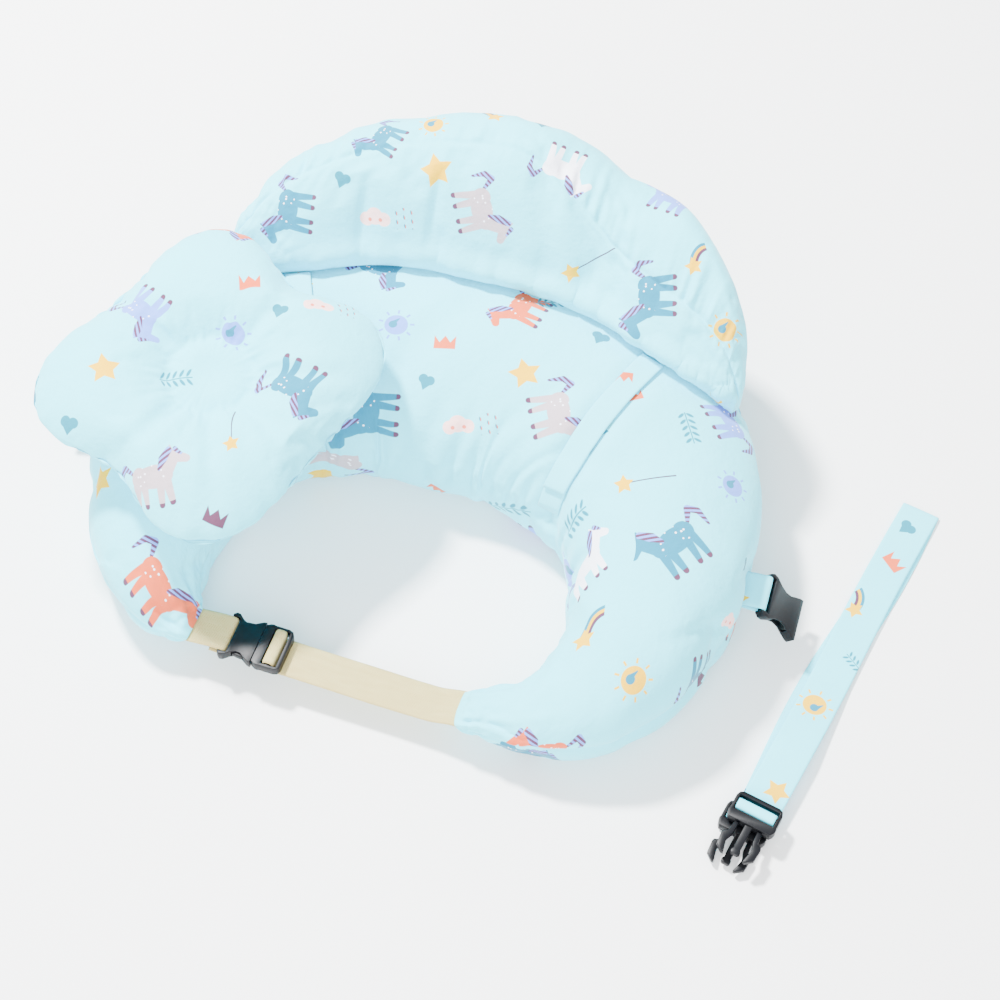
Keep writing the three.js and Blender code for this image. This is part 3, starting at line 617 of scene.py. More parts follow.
def head_matrix():
    turn = Matrix.Rotation(math.radians(HEAD["turn"]), 4, "Z")
    axis = Vector((math.cos(math.radians(HEAD["axis"])), math.sin(math.radians(HEAD["axis"])), 0))
    tilt = Matrix.Rotation(math.radians(HEAD["tilt"]), 4, axis)
    return np.array(Matrix.Translation((HEAD["x"], HEAD["y"], HEAD["z"])) @ tilt @ turn)


def head_points(n, m):
    """Rows run round the pillow, points from the top centre over the rim to the bottom centre."""
    ang = 2 * math.pi * np.arange(n) / n
    half = m // 2
    q = np.sin(math.pi / 2 * np.arange(half + 1) / half) ** 0.9
    q[0] = 0.02
    k = np.concatenate([q, q[::-1][1:]])[None, :m]
    r = (head_radius(ang)[:, None] - SLIMMER) * k
    up = np.arange(m)[None, :] <= half
    sink = DENT_DEPTH * smooth((78 - r) / (78 - DENT_RADIUS + 8))
    z_top = (HEAD_UP - SLIMMER) * (1 - k**2.8) ** 0.6 - sink
    z_low = -(HEAD_DOWN - SLIMMER) * (1 - k**2.6) ** 0.6
    P = np.stack([r * np.cos(ang)[:, None], r * np.sin(ang)[:, None], np.where(up, z_top, z_low)], 2)
    return P, ang, half


def swollen_head(n, m):
    """The pillow's points, the angle of each row, and the column of its rim."""
    fine, ang, half = head_points(n, m)
    n0, m0 = 72, 40
    coarse = head_points(n0, m0)[0]
    r = np.linalg.norm(coarse[..., :2], axis=2)
    pins = [(i * m0 + m0 // 2, 0.9) for i in range(n0)]
    pins += [(i * m0 + j, 1.0) for i in range(n0) for j in range(m0 // 2) if r[i, j] < DENT_RADIUS + 3]
    form = disc_object("sim_head", coarse, np.zeros((n0, m0, 2)), m0)
    return fine + resample(swell(form, coarse, pins), n, m, True), ang, half


def waves(A, *parts):
    """Ripples round the pillow, each given by its count, its start and its height."""
    return sum(np.sin(count * A + start) * height for count, start, height in parts)


def turned_from(A, place):
    """The angle from a place on the rim, at most half a turn either way."""
    return (A - place + math.pi) % (2 * math.pi) - math.pi


def dent_relief(A, r):
    """The stitched circle, the crown inside it, and the gathers on both sides of its thread."""
    ring = np.abs(r - DENT_RADIUS)
    radial = waves(A, (23, 0.7, 0.6), (37, 1.9, 0.45), (15, 2.6, 0.5))
    fade = np.where(r > DENT_RADIUS, 1.3 * np.exp(-ring / 15), 0.7 * np.exp(-ring / 9))
    D = 2.2 * bell(r - DENT_RADIUS + 17, 11) + groove(ring, DENT_SEAM)
    return D + radial * fade * (1 - np.exp(-ring / 3))


def head_folds(A, r, rim, to_rim, top):
    """Folds that run out from the dent, and short ones that run in from the rim."""
    rnd = np.random.default_rng(61)
    D = np.zeros_like(r)
    for place in (5.35, 4.62, 3.9, 2.35, 0.75, 6.05):
        bend = 0.0016 * (r - DENT_RADIUS) * rnd.uniform(-1, 1)
        fold = crease(turned_from(A, place + bend) * r / (6.5 + 0.03 * r), 0.4)
        fade = smooth((r - DENT_RADIUS) / 14) * smooth((rim * 0.93 - r) / 40)
        D += rnd.uniform(1.8, 3.4) * fold * fade * top
    for place in np.linspace(0, 2 * math.pi, 15)[:-1] + rnd.uniform(-0.12, 0.12, 14):
        fold = crease(turned_from(A, place) * r / 7.0, 0.4)
        D += rnd.uniform(0.6, 2.0) * fold * beside(to_rim, rnd.uniform(14, 30), 3)
    return D


def build_head():
    P, ang, half = swollen_head(216, 104)
    m = P.shape[1]
    A = ang[:, None] * np.ones((1, m))
    r = np.linalg.norm(P[..., :2], axis=2)
    top = np.arange(m)[None, :] <= half
    to_rim = arc(P, 1)
    to_rim = np.abs(to_rim - to_rim[:, half:half + 1])
    puckers = waves(A, (46, 1.0, 0.5), (63, 2.2, 0.4), (31, 0.3, 0.5))
    D = 1.1 * puckers * beside(to_rim, 13, 3) + groove(to_rim, RIM_SEAM)
    D += np.where(top, dent_relief(A, r), 0) + head_folds(A, r, head_radius(ang)[:, None], to_rim, top)
    P = P + normals(around(P, 0), np.gradient(P, axis=1), P) * D[..., None]
    M = head_matrix()
    W = P @ M[:3, :3].T + M[:3, 3]
    lay_down(W)
    out = arc(P, 1)
    out = np.where(top, out, out[:, -1:] - out)
    turn = math.radians(HEAD["turn"]) + PRINT_TURN
    uv = np.stack([out * np.cos(A + turn) + np.where(top, 0, HEAD_SHIFT), out * np.sin(A + turn)], 2)
    return disc_object("head_cushion", W, uv, half)


def with_modifiers(obj):
    """Gives the object the mesh that its modifiers make of it."""
    old = obj.data
    mesh = bpy.data.meshes.new_from_object(obj.evaluated_get(bpy.context.evaluated_depsgraph_get()))
    obj.modifiers.clear()
    obj.data = mesh
    bpy.data.meshes.remove(old)
    mesh.name = obj.name
    return mesh


def subdivide(obj):
    mod = obj.modifiers.new("Subdivision", "SUBSURF")
    mod.levels = mod.render_levels = 1
    shade_smooth(with_modifiers(obj))


main_obj, guard_obj, head_obj = build_main(), build_guard(), build_head()
for cushion in (main_obj, guard_obj, head_obj):
    subdivide(cushion)


# ---------------------------------------------------------------- node graphs
def srgb(r, g, b):
    """A colour given as display values from 0 to 255, as the linear colour that shaders use."""
    return tuple(((v / 255 + 0.055) / 1.055) ** 2.4 if v > 10 else v / 3294.6 for v in (r, g, b))


class Value:
    """A shader socket that can be written in sums."""

    def __init__(self, graph, socket):
        self.graph, self.socket = graph, socket

    def __add__(self, o):
        return self.graph.math("ADD", self, o)

    __radd__ = __add__

    def __sub__(self, o):
        return self.graph.math("SUBTRACT", self, o)

    def __rsub__(self, o):
        return self.graph.math("SUBTRACT", o, self)

    def __mul__(self, o):
        return self.graph.math("MULTIPLY", self, o)

    __rmul__ = __mul__

    def __truediv__(self, o):
        return self.graph.math("DIVIDE", self, o)

    def __lt__(self, o):
        return self.graph.math("LESS_THAN", self, o)

    def __gt__(self, o):
        return self.graph.math("GREATER_THAN", self, o)

    def __abs__(self):
        return self.graph.math("ABSOLUTE", self)


class Graph:
    """A material's nodes, made one after another. Lengths in them are millimetres."""

    def __init__(self, name):
        self.material = bpy.data.materials.new(name)
        self.material.use_nodes = True
        self.tree = self.material.node_tree
        self.surface = self.tree.nodes["Principled BSDF"]

    def node(self, kind, **settings):
        n = self.tree.nodes.new(kind)
        for key, value in settings.items():
            setattr(n, key, value)
        return n

    def put(self, socket, value):
        if isinstance(value, Value):
            self.tree.links.new(value.socket, socket)
        elif hasattr(value, "__len__") and len(value) == 3 and len(socket.default_value) == 4:
            socket.default_value = (*value, 1)
        else:
            socket.default_value = value

    def fed(self, kind, *values, **settings):
        """A new node with these values in its first inputs."""
        n = self.node(kind, **settings)
        for socket, value in zip(n.inputs, values):
            self.put(socket, value)
        return n

    def math(self, op, a, b=0.0, c=0.0, clamp=False):
        return Value(self, self.fed("ShaderNodeMath", a, b, c, operation=op, use_clamp=clamp).outputs[0])

    def vector(self, op, a, b=(0, 0, 0), c=(0, 0, 0)):
        n = self.fed("ShaderNodeVectorMath", a, b, c, operation=op)
        return Value(self, n.outputs["Value" if op in ("LENGTH", "DOT_PRODUCT", "DISTANCE") else "Vector"])

    def scaled(self, a, factor):
        n = self.node("ShaderNodeVectorMath", operation="SCALE")
        self.put(n.inputs[0], a)
        self.put(n.inputs["Scale"], factor)
        return Value(self, n.outputs[0])

    def parts(self, a):
        return [Value(self, o) for o in self.fed("ShaderNodeSeparateXYZ", a).outputs]

    def joined(self, x, y, z=0.0):
        return Value(self, self.fed("ShaderNodeCombineXYZ", x, y, z).outputs[0])

    def mix(self, factor, a, b, kind="RGBA"):
        n = self.node("ShaderNodeMix", data_type=kind)
        first = {"FLOAT": 2, "VECTOR": 4, "RGBA": 6}[kind]
        for index, value in ((0, factor), (first, a), (first + 1, b)):
            self.put(n.inputs[index], value)
        return Value(self, n.outputs[{"FLOAT": 0, "VECTOR": 1, "RGBA": 2}[kind]])

    def noise(self, place, scale, detail=2.0, rough=0.5):
        n = self.node("ShaderNodeTexNoise")
        for key, value in (("Vector", place), ("Scale", scale), ("Detail", detail), ("Roughness", rough)):
            self.put(n.inputs[key], value)
        return Value(self, n.outputs["Fac"])

    def cells(self, place, scale, feature="F1"):
        n = self.node("ShaderNodeTexVoronoi", feature=feature)
        self.put(n.inputs["Vector"], place)
        self.put(n.inputs["Scale"], scale)
        return Value(self, n.outputs["Distance"])

    def mapped(self, place, turn=0.0, size=(1, 1, 1), shift=(0, 0, 0)):
        n = self.node("ShaderNodeMapping")
        self.put(n.inputs["Vector"], place)
        n.inputs["Rotation"].default_value = (0, 0, turn)
        n.inputs["Scale"].default_value = size
        n.inputs["Location"].default_value = shift
        return Value(self, n.outputs[0])

    def uv(self):
        """The piece's print coordinates, in millimetres."""
        n = self.node("ShaderNodeUVMap", uv_map="Print")
        return self.scaled(Value(self, n.outputs[0]), 1000.0)

    def place(self):
        """Position on the object, in millimetres."""
        n = self.node("ShaderNodeTexCoord")
        return self.scaled(Value(self, n.outputs["Object"]), 1000.0)

    def bump(self, height, strength=1.0):
        """Surface relief from a height in millimetres."""
        n = self.node("ShaderNodeBump")
        n.inputs["Strength"].default_value = strength
        n.inputs["Distance"].default_value = MM
        self.put(n.inputs["Height"], height)
        self.tree.links.new(n.outputs[0], self.surface.inputs["Normal"])

    def finish(self, colour, roughness, **constants):
        self.put(self.surface.inputs["Base Color"], colour)
        self.put(self.surface.inputs["Roughness"], roughness)
        for key, value in constants.items():
            self.surface.inputs[key.replace("_", " ")].default_value = value
        return self.material


# ---------------------------------------------------------------- the printed pattern (mm)
TEAL, BEIGE, PERIWINKLE = srgb(6, 122, 152), srgb(178, 164, 172), srgb(104, 142, 232)
CORAL, WHITE, PLUM = srgb(214, 92, 56), srgb(238, 240, 252), srgb(88, 52, 76)
YELLOW, LEAF, ROSE, CHEEK = srgb(232, 180, 0), srgb(8, 128, 150), srgb(250, 200, 196), srgb(226, 112, 92)
CLOTH_TINT = (100, 232, 252)
PONY_COLOURS = (TEAL, BEIGE, WHITE, CORAL, PERIWINKLE)
IN_TEAL, IN_BEIGE, IN_WHITE, IN_CORAL, IN_PERIWINKLE = range(5)
STAR, WAND, COMET, HEART, SPRIG, CLOUD, CROWN, SUN, SUN_BLUE, CROWN_DARK = range(10)
REACH = {WAND: 56, CLOUD: 40, COMET: 34}
SMALL_REACH, PONY_REACH = 22, 50
NOWHERE = (900.0, 900.0, -1.0)  # a place and a kind at which nothing is drawn
# Each print is its repeat's width and height, its ponies (x, y, turn in degrees, size, colour) and its
# small motifs (kind, x, y, turn, size). A pony whose size is negative faces the other way.
MAIN_PRINT = (780, 640, [
    (-98, -108, 82, 1.3, IN_TEAL), (83, -120, -84, -1.3, IN_BEIGE), (181, -259, 38, 1.4, IN_TEAL),
    (98, -258, 24, -1.15, IN_WHITE), (240, -380, 196, 1.3, IN_TEAL), (66, -440, -6, 1.3, IN_CORAL),
    (-290, -268, -58, -1.3, IN_CORAL), (50, 6, 62, 1.2, IN_CORAL), (-84, 60, 150, 1.2, IN_TEAL),
    (250, -108, -66, 1.25, IN_PERIWINKLE), (-250, -20, 10, -1.3, IN_BEIGE), (170, 90, -20, 1.3, IN_TEAL),
    (-20, 150, 12, 1.3, IN_PERIWINKLE), (-360, -60, 24, 1.3, IN_TEAL),
], [
    (SUN_BLUE, -70, -15, 0, 1.3), (CROWN, -23, -35, -6, 1.5), (SPRIG, 84, 18, 8, 1.25),
    (HEART, 127, -29, -28, 1.25), (HEART, 120, -142, -24, 1.15), (HEART, -42, -76, -24, 1.1),
    (STAR, 53, -72, 10, 1.4), (CLOUD, -14, -120, 0, 1.1), (CROWN, 155, -100, 10, 1.2),
    (SPRIG, 206, -134, -78, 1.35), (WAND, 140, -195, 2, 0.85), (SUN_BLUE, 246, -190, 0, 1.25),
    (SPRIG, 84, -212, 14, 1.35), (COMET, 100, -336, 0, 0.95), (SUN, 146, -381, 0, 1.35),
    (CLOUD, 258, -318, 8, 0.9), (HEART, 268, -262, -20, 1.0), (STAR, -352, -168, 14, 1.4),
    (HEART, -230, -150, 20, 1.2), (CROWN_DARK, -340, -330, 0, 1.4), (SUN, -170, 40, 0, 1.3),
    (CLOUD, -310, 60, 0, 1.1), (WAND, 60, 100, 20, 0.85), (SPRIG, -160, 130, 30, 1.3),
    (STAR, 240, 20, 0, 1.4), (HEART, -90, 130, 10, 1.2), (CROWN_DARK, 110, 170, -12, 1.4),
    (SPRIG, -180, -330, 0, 1.3),
])
GUARD_PRINT = (640, 560, [
    (-174, 116, 80, 1.2, IN_TEAL), (26, 114, -84, -1.25, IN_BEIGE), (186, 6, 86, 1.25, IN_TEAL),
    (112, 150, 156, 1.15, IN_WHITE), (-78, 196, 60, 1.1, IN_TEAL), (214, 118, -30, 1.1, IN_PERIWINKLE),
    (-190, 290, 10, 1.3, IN_CORAL), (40, 300, -6, 1.3, IN_TEAL), (-250, -60, 0, 1.3, IN_BEIGE),
], [
    (HEART, -117, 150, -24, 1.15), (CLOUD, -86, 112, 0, 1.15), (STAR, -18, 158, 8, 1.5),
    (WAND, 106, 46, 14, 0.85), (SUN, 258, -30, 0, 1.25), (COMET, 232, 34, 10, 0.8), (SUN, -22, 212, 0, 1.2),
    (COMET, 42, 222, 60, 0.85), (HEART, 94, 214, -10, 1.2), (SUN, 232, -104, 0, 1.25),
    (CROWN_DARK, -130, 250, 8, 1.4), (SPRIG, 150, 260, 20, 1.3), (CLOUD, -40, 330, 0, 1.0),
    (STAR, 250, 210, 0, 1.4),
])
HEAD_PRINT = (440, 440, [
    (-68, 62, 138, 1.25, IN_PERIWINKLE), (84, -22, 150, 1.3, IN_TEAL), (-46, -118, 8, -1.3, IN_BEIGE),
    (10, 182, 170, 1.2, IN_CORAL), (150, -150, 20, 1.3, IN_WHITE),
], [
    (CROWN, 36, 94, 8, 1.5), (STAR, -101, -4, 6, 1.4), (HEART, -134, -58, -24, 1.3),
    (SPRIG, -30, -5, 6, 1.3), (SUN_BLUE, 20, 42, 0, 1.3), (WAND, 25, -84, 84, 0.75),
    (CROWN_DARK, 12, -154, -22, 1.5), (CLOUD, 104, 72, 0, 1.1), (HEART, 66, 62, -20, 1.1),
    (SUN, -170, 120, 0, 1.3), (SPRIG, 150, 150, 60, 1.3),
])
TRIM_PRINT = (560, 230, [
    (470, 8, -60, 1.2, IN_CORAL), (70, 112, 0, 1.1, IN_TEAL),
], [
    (SUN, 134, -2, 0, 1.3), (COMET, 252, -10, -60, 0.8), (CROWN, 322, 2, -58, 1.5),
    (HEART, 366, -4, -60, 1.2), (SPRIG, 196, 14, -60, 1.0), (CROWN, 250, 104, -60, 1.2),
    (HEART, 420, 100, 0, 1.1), (STAR, 30, 6, 0, 1.1),
])


def hypot(g, x, y):
    return g.vector("LENGTH", g.joined(x, y))


def shape(g, *distances):
    """1 inside any of the outlines, 0 outside, with an edge about half a millimetre soft."""
    low = distances[0]
    for d in distances[1:]:
        low = g.math("MINIMUM", low, d)
    return g.math("MULTIPLY_ADD", low, -2.0, 0.5, clamp=True)


def limb(g, q, a, b, thick_a, thick_b):
    """Distance to a bar from a to b with round ends."""
    ax, ay, bx, by = *a, b[0] - a[0], b[1] - a[1]
    near = g.vector("SUBTRACT", q, (ax, ay, 0))
    along = g.vector("DOT_PRODUCT", near, (bx, by, 0))
    along = g.math("MULTIPLY", along, 1 / (bx * bx + by * by), clamp=True)
    foot = g.vector("SUBTRACT", near, g.scaled((bx, by, 0), along))
    return g.vector("LENGTH", foot) - g.math("MULTIPLY_ADD", along, thick_b - thick_a, thick_a)


def folded(g, uv, wide, high, slots):
    """Coordinates in the nearest motif's own frame, its kind as z."""
    q = g.joined(*NOWHERE)
    half = (wide / 2, high / 2, 1)
    for kind, x, y, turn, size, reach in slots:
        d = g.vector("SUBTRACT", uv, (x, y, 0))
        d = g.vector("WRAP", d, half, tuple(-v for v in half))
        near = g.vector("LENGTH", d) < reach
        flip = -1 if size < 0 else 1
        turned = g.mapped(d, -math.radians(turn))
        local = g.mapped(turned, 0.0, (flip / abs(size), 1 / abs(size), 1), (0, 0, kind))
        q = g.mix(near, q, local, "VECTOR")
    return q


def coat_colour(g, kind):
    """The ground colour of a pony, picked by its number."""
    ramp = g.node("ShaderNodeValToRGB")
    ramp.color_ramp.interpolation = "CONSTANT"
    stops, count = ramp.color_ramp.elements, len(PONY_COLOURS)
    for k in range(count):
        stop = stops[k] if k < len(stops) else stops.new(k / count)
        stop.position = k / count
    for stop, colour in zip(stops, PONY_COLOURS):
        stop.color = (*colour, 1)
    g.put(ramp.inputs[0], (kind + 0.5) / count)
    return Value(g, ramp.outputs[0])


def pony_body(g, q, x, y):
    trunk = g.vector("LENGTH", g.joined((x - 3.0) / 15.0, (y - 0.5) / 8.6)) * 8.6 - 8.6
    rump, chest = hypot(g, x - 12.0, y - 2.0) - 7.6, hypot(g, x + 7.0, y - 1.6) - 7.0
    neck = limb(g, q, (-9, 4), (-16, 14), 5.6, 4.2)
    head = limb(g, q, (-16, 15), (-24, 9.5), 4.8, 3.0)
    ear = limb(g, q, (-14, 18), (-12.6, 22), 1.8, 0.7)
    legs = [limb(g, q, a, b, 3.4, 2.1) for a, b in (
        ((-9, -2), (-11.5, -20)), ((-4, -4), (-3.6, -20)), ((10, -3), (8.6, -20)), ((15, -1), (17.4, -20)))]
    return shape(g, trunk, rump, chest, neck, head, ear, *legs)


def pony_hair(g, q):
    """The mane with its forelock, and the tail."""
    mane = shape(g, limb(g, q, (-12, 19), (-7, 12), 2.4, 3.2), limb(g, q, (-7, 12), (-3.5, 5), 3.2, 1.2),
                 limb(g, q, (-17, 20), (-21, 15.5), 2.0, 1.0))
    tail = shape(g, limb(g, q, (19, 6), (25, 13), 1.4, 2.6), limb(g, q, (25, 13), (30, 8), 2.6, 2.4),
                 limb(g, q, (30, 8), (30.5, -3), 2.4, 0.9))
    return mane, tail


def draw_ponies(g, uv, pattern, cloth):
    wide, high, ponies, _ = pattern
    slots = [(c, x, y, t, s, PONY_REACH) for x, y, t, s, c in ponies]
    x, y, kind = g.parts(folded(g, uv, wide, high, slots))
    q = g.joined(x, y)
    mane, tail = pony_hair(g, q)
    dots = (g.cells(q, 0.26) < 0.2) * (y > -4.0) * (x > -14.0)
    coat = g.mix(dots, coat_colour(g, kind), WHITE)
    coat = g.mix(y < -18.6, coat, PLUM)
    hair = g.mix(g.math("SINE", x * 1.1 + y * 1.6) > 0.1, PLUM, PERIWINKLE)
    cloth = g.mix(tail, cloth, hair)
    cloth = g.mix(pony_body(g, q, x, y), cloth, coat)
    return g.mix(mane, cloth, hair)


def star_outline(g, x, y, outer=12.0, inner=6.2):
    """Distance to a five-pointed star."""
    r = hypot(g, x, y)
    a = g.math("PINGPONG", g.math("ARCTAN2", y, x) - math.pi / 2, math.pi / 5)
    ex, ey = inner * math.cos(math.pi / 5) - outer, inner * math.sin(math.pi / 5)
    size = math.hypot(ex, ey)
    return (r * g.math("COSINE", a) - outer) * (ey / size) + r * g.math("SINE", a) * (-ex / size)


def only(g, kind, *kinds):
    """1 where the nearest motif is of one of these kinds, which follow one another in number."""
    low, high = min(kinds), max(kinds)
    return g.math("COMPARE", kind, (low + high) / 2, (high - low) / 2 + 0.3)


def draw_stars(g, x, y, kind, cloth):
    """The wand's stick and the shooting star's tail, then the star over both."""
    stick = shape(g, limb(g, g.joined(x, y), (4, 0.5), (58, 6), 0.7, 0.9))
    cloth = g.mix(stick * only(g, kind, WAND), cloth, PLUM)
    arc_out = hypot(g, x - 26.0, y + 4.0)
    tail = g.math("MAXIMUM", abs(arc_out - 26.0) - 5.4, g.math("MAXIMUM", 1.0 - y, x - 21.0))
    bands = g.mix(arc_out > 27.8, g.mix(arc_out > 24.2, PLUM, YELLOW), TEAL)
    cloth = g.mix(shape(g, tail) * only(g, kind, COMET), cloth, bands)
    return g.mix(shape(g, star_outline(g, x, y)) * only(g, kind, STAR, COMET), cloth, YELLOW)


def draw_heart(g, x, y, kind, cloth):
    lobe = hypot(g, abs(x) - 3.1, y - 2.2) - 4.2
    point = g.math("MAXIMUM", abs(x) * 0.82 - (y + 7.8) * 0.57, y - 2.0)
    return g.mix(shape(g, lobe, point) * only(g, kind, HEART), cloth, LEAF)


def draw_sprig(g, x, y, kind, cloth):
    stem = g.math("MAXIMUM", abs(y) - 0.45, abs(x) - 13.0)
    lx, ly = g.math("WRAP", x, 2.6, -2.6), abs(y) - 3.3
    c, s = math.cos(0.6), math.sin(0.6)
    leaf = (g.vector("LENGTH", g.joined((lx * c - ly * s) / 1.15, (lx * s + ly * c) / 3.0)) - 1.0) * 1.2
    leaf = g.math("MAXIMUM", leaf, abs(x) - 12.8)
    return g.mix(shape(g, stem, leaf) * only(g, kind, SPRIG), cloth, LEAF)


def draw_cloud(g, x, y, kind, cloth):
    """A cloud with two cheeks, and coloured drops beside it."""
    middle = hypot(g, x, y - 1.6) - 7.6
    puffs = shape(g, hypot(g, x + 7.5, y + 1.2) - 6.0, middle, hypot(g, x - 8.0, y + 1.0) - 6.2)
    cheeks = shape(g, hypot(g, x + 4.5, y + 1.5) - 1.7, hypot(g, x - 5.0, y + 1.5) - 1.7)
    dx, dy = g.math("WRAP", x, 3.3, -3.3), g.math("WRAP", y + x * 0.55, 3.9, -3.9)
    drop = (hypot(g, dx, dy / 1.9) - 1.0) * 1.2
    inside = g.math("MAXIMUM", abs(x - 25.0) - 9.6, abs(y) - 9.5)
    falling = shape(g, g.math("MAXIMUM", drop, inside)) * only(g, kind, CLOUD)
    cloth = g.mix(falling, cloth, g.mix(g.math("SINE", x * 0.95) > 0.0, TEAL, CORAL))
    return g.mix(puffs * only(g, kind, CLOUD), cloth, g.mix(cheeks, ROSE, CHEEK))


def draw_crown(g, x, y, kind, cloth):
    top = 5.2 - g.math("PINGPONG", x, 3.5) * 1.5
    crown = shape(g, g.math("MAXIMUM", g.math("MAXIMUM", abs(x) - 7.0, -5.0 - y), y - top))
    cloth = g.mix(crown * only(g, kind, CROWN), cloth, CORAL)
    return g.mix(crown * only(g, kind, CROWN_DARK), cloth, PLUM)


def draw_sun(g, x, y, kind, cloth):
    """A sun with short rays and a seed in it."""
    r = hypot(g, x, y)
    ray = g.math("PINGPONG", g.math("ARCTAN2", y, x), math.pi / 9) * r
    ray = g.math("MAXIMUM", ray - 0.75, abs(r - 12.0) - 1.7)
    disc = shape(g, r - 8.8, ray)
    seed = shape(g, hypot(g, x + 2.4, y - 0.6) - 3.2, limb(g, g.joined(x, y), (-2, 2), (2.4, 5.4), 1.9, 0.4))
    sun = only(g, kind, SUN, SUN_BLUE)
    cloth = g.mix(disc * sun, cloth, g.mix(only(g, kind, SUN_BLUE), YELLOW, PERIWINKLE))
    return g.mix(seed * sun, cloth, TEAL)


def draw_small(g, uv, pattern, cloth):
    wide, high, _, small = pattern
    slots = [(k, x, y, t, s, REACH.get(k, SMALL_REACH)) for k, x, y, t, s in small]
    x, y, kind = g.parts(folded(g, uv, wide, high, slots))
    for draw in (draw_stars, draw_heart, draw_sprig, draw_cloud, draw_crown, draw_sun):
        cloth = draw(g, x, y, kind, cloth)
    return cloth


# ---------------------------------------------------------------- materials
def cotton(name, pattern, crumple=1.0):
    """Soft brushed cotton: plain weave, slubs, fine crumpling and a little sheen."""
    g = Graph(name)
    uv = g.uv()
    u, v, _ = g.parts(uv)
    threads = g.math("SINE", u * (2 * math.pi / 0.8)) * g.math("SINE", v * (2 * math.pi / 0.8))
    slub = g.noise(g.joined(u * 0.12, v * 1.6), 1.0, 2.0) + g.noise(g.joined(u * 1.6, v * 0.12), 1.0, 2.0)
    body = g.noise(uv, 0.05, 4.0, 0.62)
    fine = g.noise(uv, 0.16, 3.0, 0.55)
    g.bump(threads * 0.02 + slub * 0.05 + body * (1.6 * crumple) + fine * (0.55 * crumple), 0.9)
    light, dark = srgb(*CLOTH_TINT), srgb(*(c * 0.955 for c in CLOTH_TINT))
    cloth = g.mix(g.noise(uv, 0.02, 3.0), dark, light)
    cloth = g.mix((slub - 0.75) * 0.22, cloth, dark)
    cloth = draw_small(g, uv, pattern, draw_ponies(g, uv, pattern, cloth))
    rough = g.mix(slub * 0.5, 0.82, 0.94, "FLOAT")
    return g.finish(cloth, rough, Sheen_Weight=0.22, Sheen_Roughness=0.45, Specular_IOR_Level=0.25)


def webbing_material():
    """Flat herringbone webbing: u runs along it, v across."""
    g = Graph("webbing")
    u, v, _ = g.parts(g.uv())
    slant = g.math("PINGPONG", v, 4.75)
    twill = g.math("SINE", (u + slant) * (2 * math.pi / 1.9))
    pick = g.math("SINE", v * (2 * math.pi / 1.3))
    wear = g.noise(g.joined(u * 0.05, v * 0.25), 1.0, 3.0)
    g.bump(twill * 0.16 + pick * 0.06 + wear * 0.5, 1.0)
    base = g.mix(wear, srgb(184, 166, 104), srgb(208, 192, 132))
    base = g.mix((twill + 1.0) * 0.18, base, srgb(140, 122, 70))
    rough = g.mix(wear, 0.7, 0.88, "FLOAT")
    return g.finish(base, rough, Sheen_Weight=0.12, Sheen_Roughness=0.5, Specular_IOR_Level=0.3)


def moulded_plastic():
    """Satin black acetal with a fine spark finish and a few handling marks."""
    g = Graph("buckle_plastic")
    p = g.place()
    grain = g.noise(p, 2.6, 2.0)
    flow = g.noise(p, 0.05, 3.0)
    marks = g.noise(g.vector("MULTIPLY", p, (0.3, 2.4, 0.5)), 1.0, 5.0, 0.7)
    scratch = g.math("MULTIPLY", (marks > 0.66) * 1.0, 0.5)
    g.bump(grain * 0.05 + flow * 0.12 - scratch * 0.04, 0.8)
    base = g.mix(flow, srgb(2, 3, 6), srgb(7, 9, 14))
    base = g.mix(scratch * 0.2, base, srgb(30, 34, 42))
    rough = g.math("MULTIPLY_ADD", grain, 0.12, 0.34)
    return g.finish(base, rough, Specular_IOR_Level=0.2)


def hook_material():
    """Hook tape: close rows of small stiff loops on a woven back."""
    g = Graph("hook_tape")
    uv = g.uv()
    hooks = g.cells(uv, 1.1)
    g.bump((0.5 - hooks) * 0.7, 1.0)
    # painted shade: the colour darkens away from each hook, into the low ground between the hooks where the
    # bump sinks
    base = g.mix(hooks, srgb(190, 232, 244), srgb(120, 190, 208))
    return g.finish(base, g.math("MULTIPLY_ADD", hooks, 0.2, 0.62))


def zip_material(name, low, high, pitch):
    """Nylon zip parts, ribbed across."""
    g = Graph(name)
    teeth = g.math("SINE", g.parts(g.place())[0] * (2 * math.pi / pitch))
    grain = g.noise(g.place(), 0.8, 3.0)
    g.bump(teeth * 0.2 + grain * 0.08, 1.0)
    base = g.mix(grain, low, high)
    base = g.mix((teeth + 1.0) * 0.12, base, low)
    return g.finish(base, g.math("MULTIPLY_ADD", grain, 0.2, 0.4))


# ---------------------------------------------------------------- straps
def rounded(points, radius, step):
    """Evenly spaced points on a polyline whose corners are rounded off."""
    p = np.array(points, float)
    s = lengths(p)
    fine = np.arange(0, s[-1] + 0.25, 0.5)
    q = np.stack([np.interp(fine, s, column) for column in p.T], 1)
    w = max(1, int(radius / 0.5))
    pad = np.concatenate([2 * q[:1] - q[1:w + 1][::-1], q, 2 * q[-1:] - q[-w - 1:-1][::-1]])
    window = np.hanning(2 * w + 3)[1:-1]
    q = np.stack([np.convolve(column, window / window.sum(), "valid") for column in pad.T], 1)
    s = lengths(q)
    at = np.linspace(0, s[-1], max(3, int(s[-1] / step) + 1))
    return np.stack([np.interp(at, s, column) for column in q.T], 1)


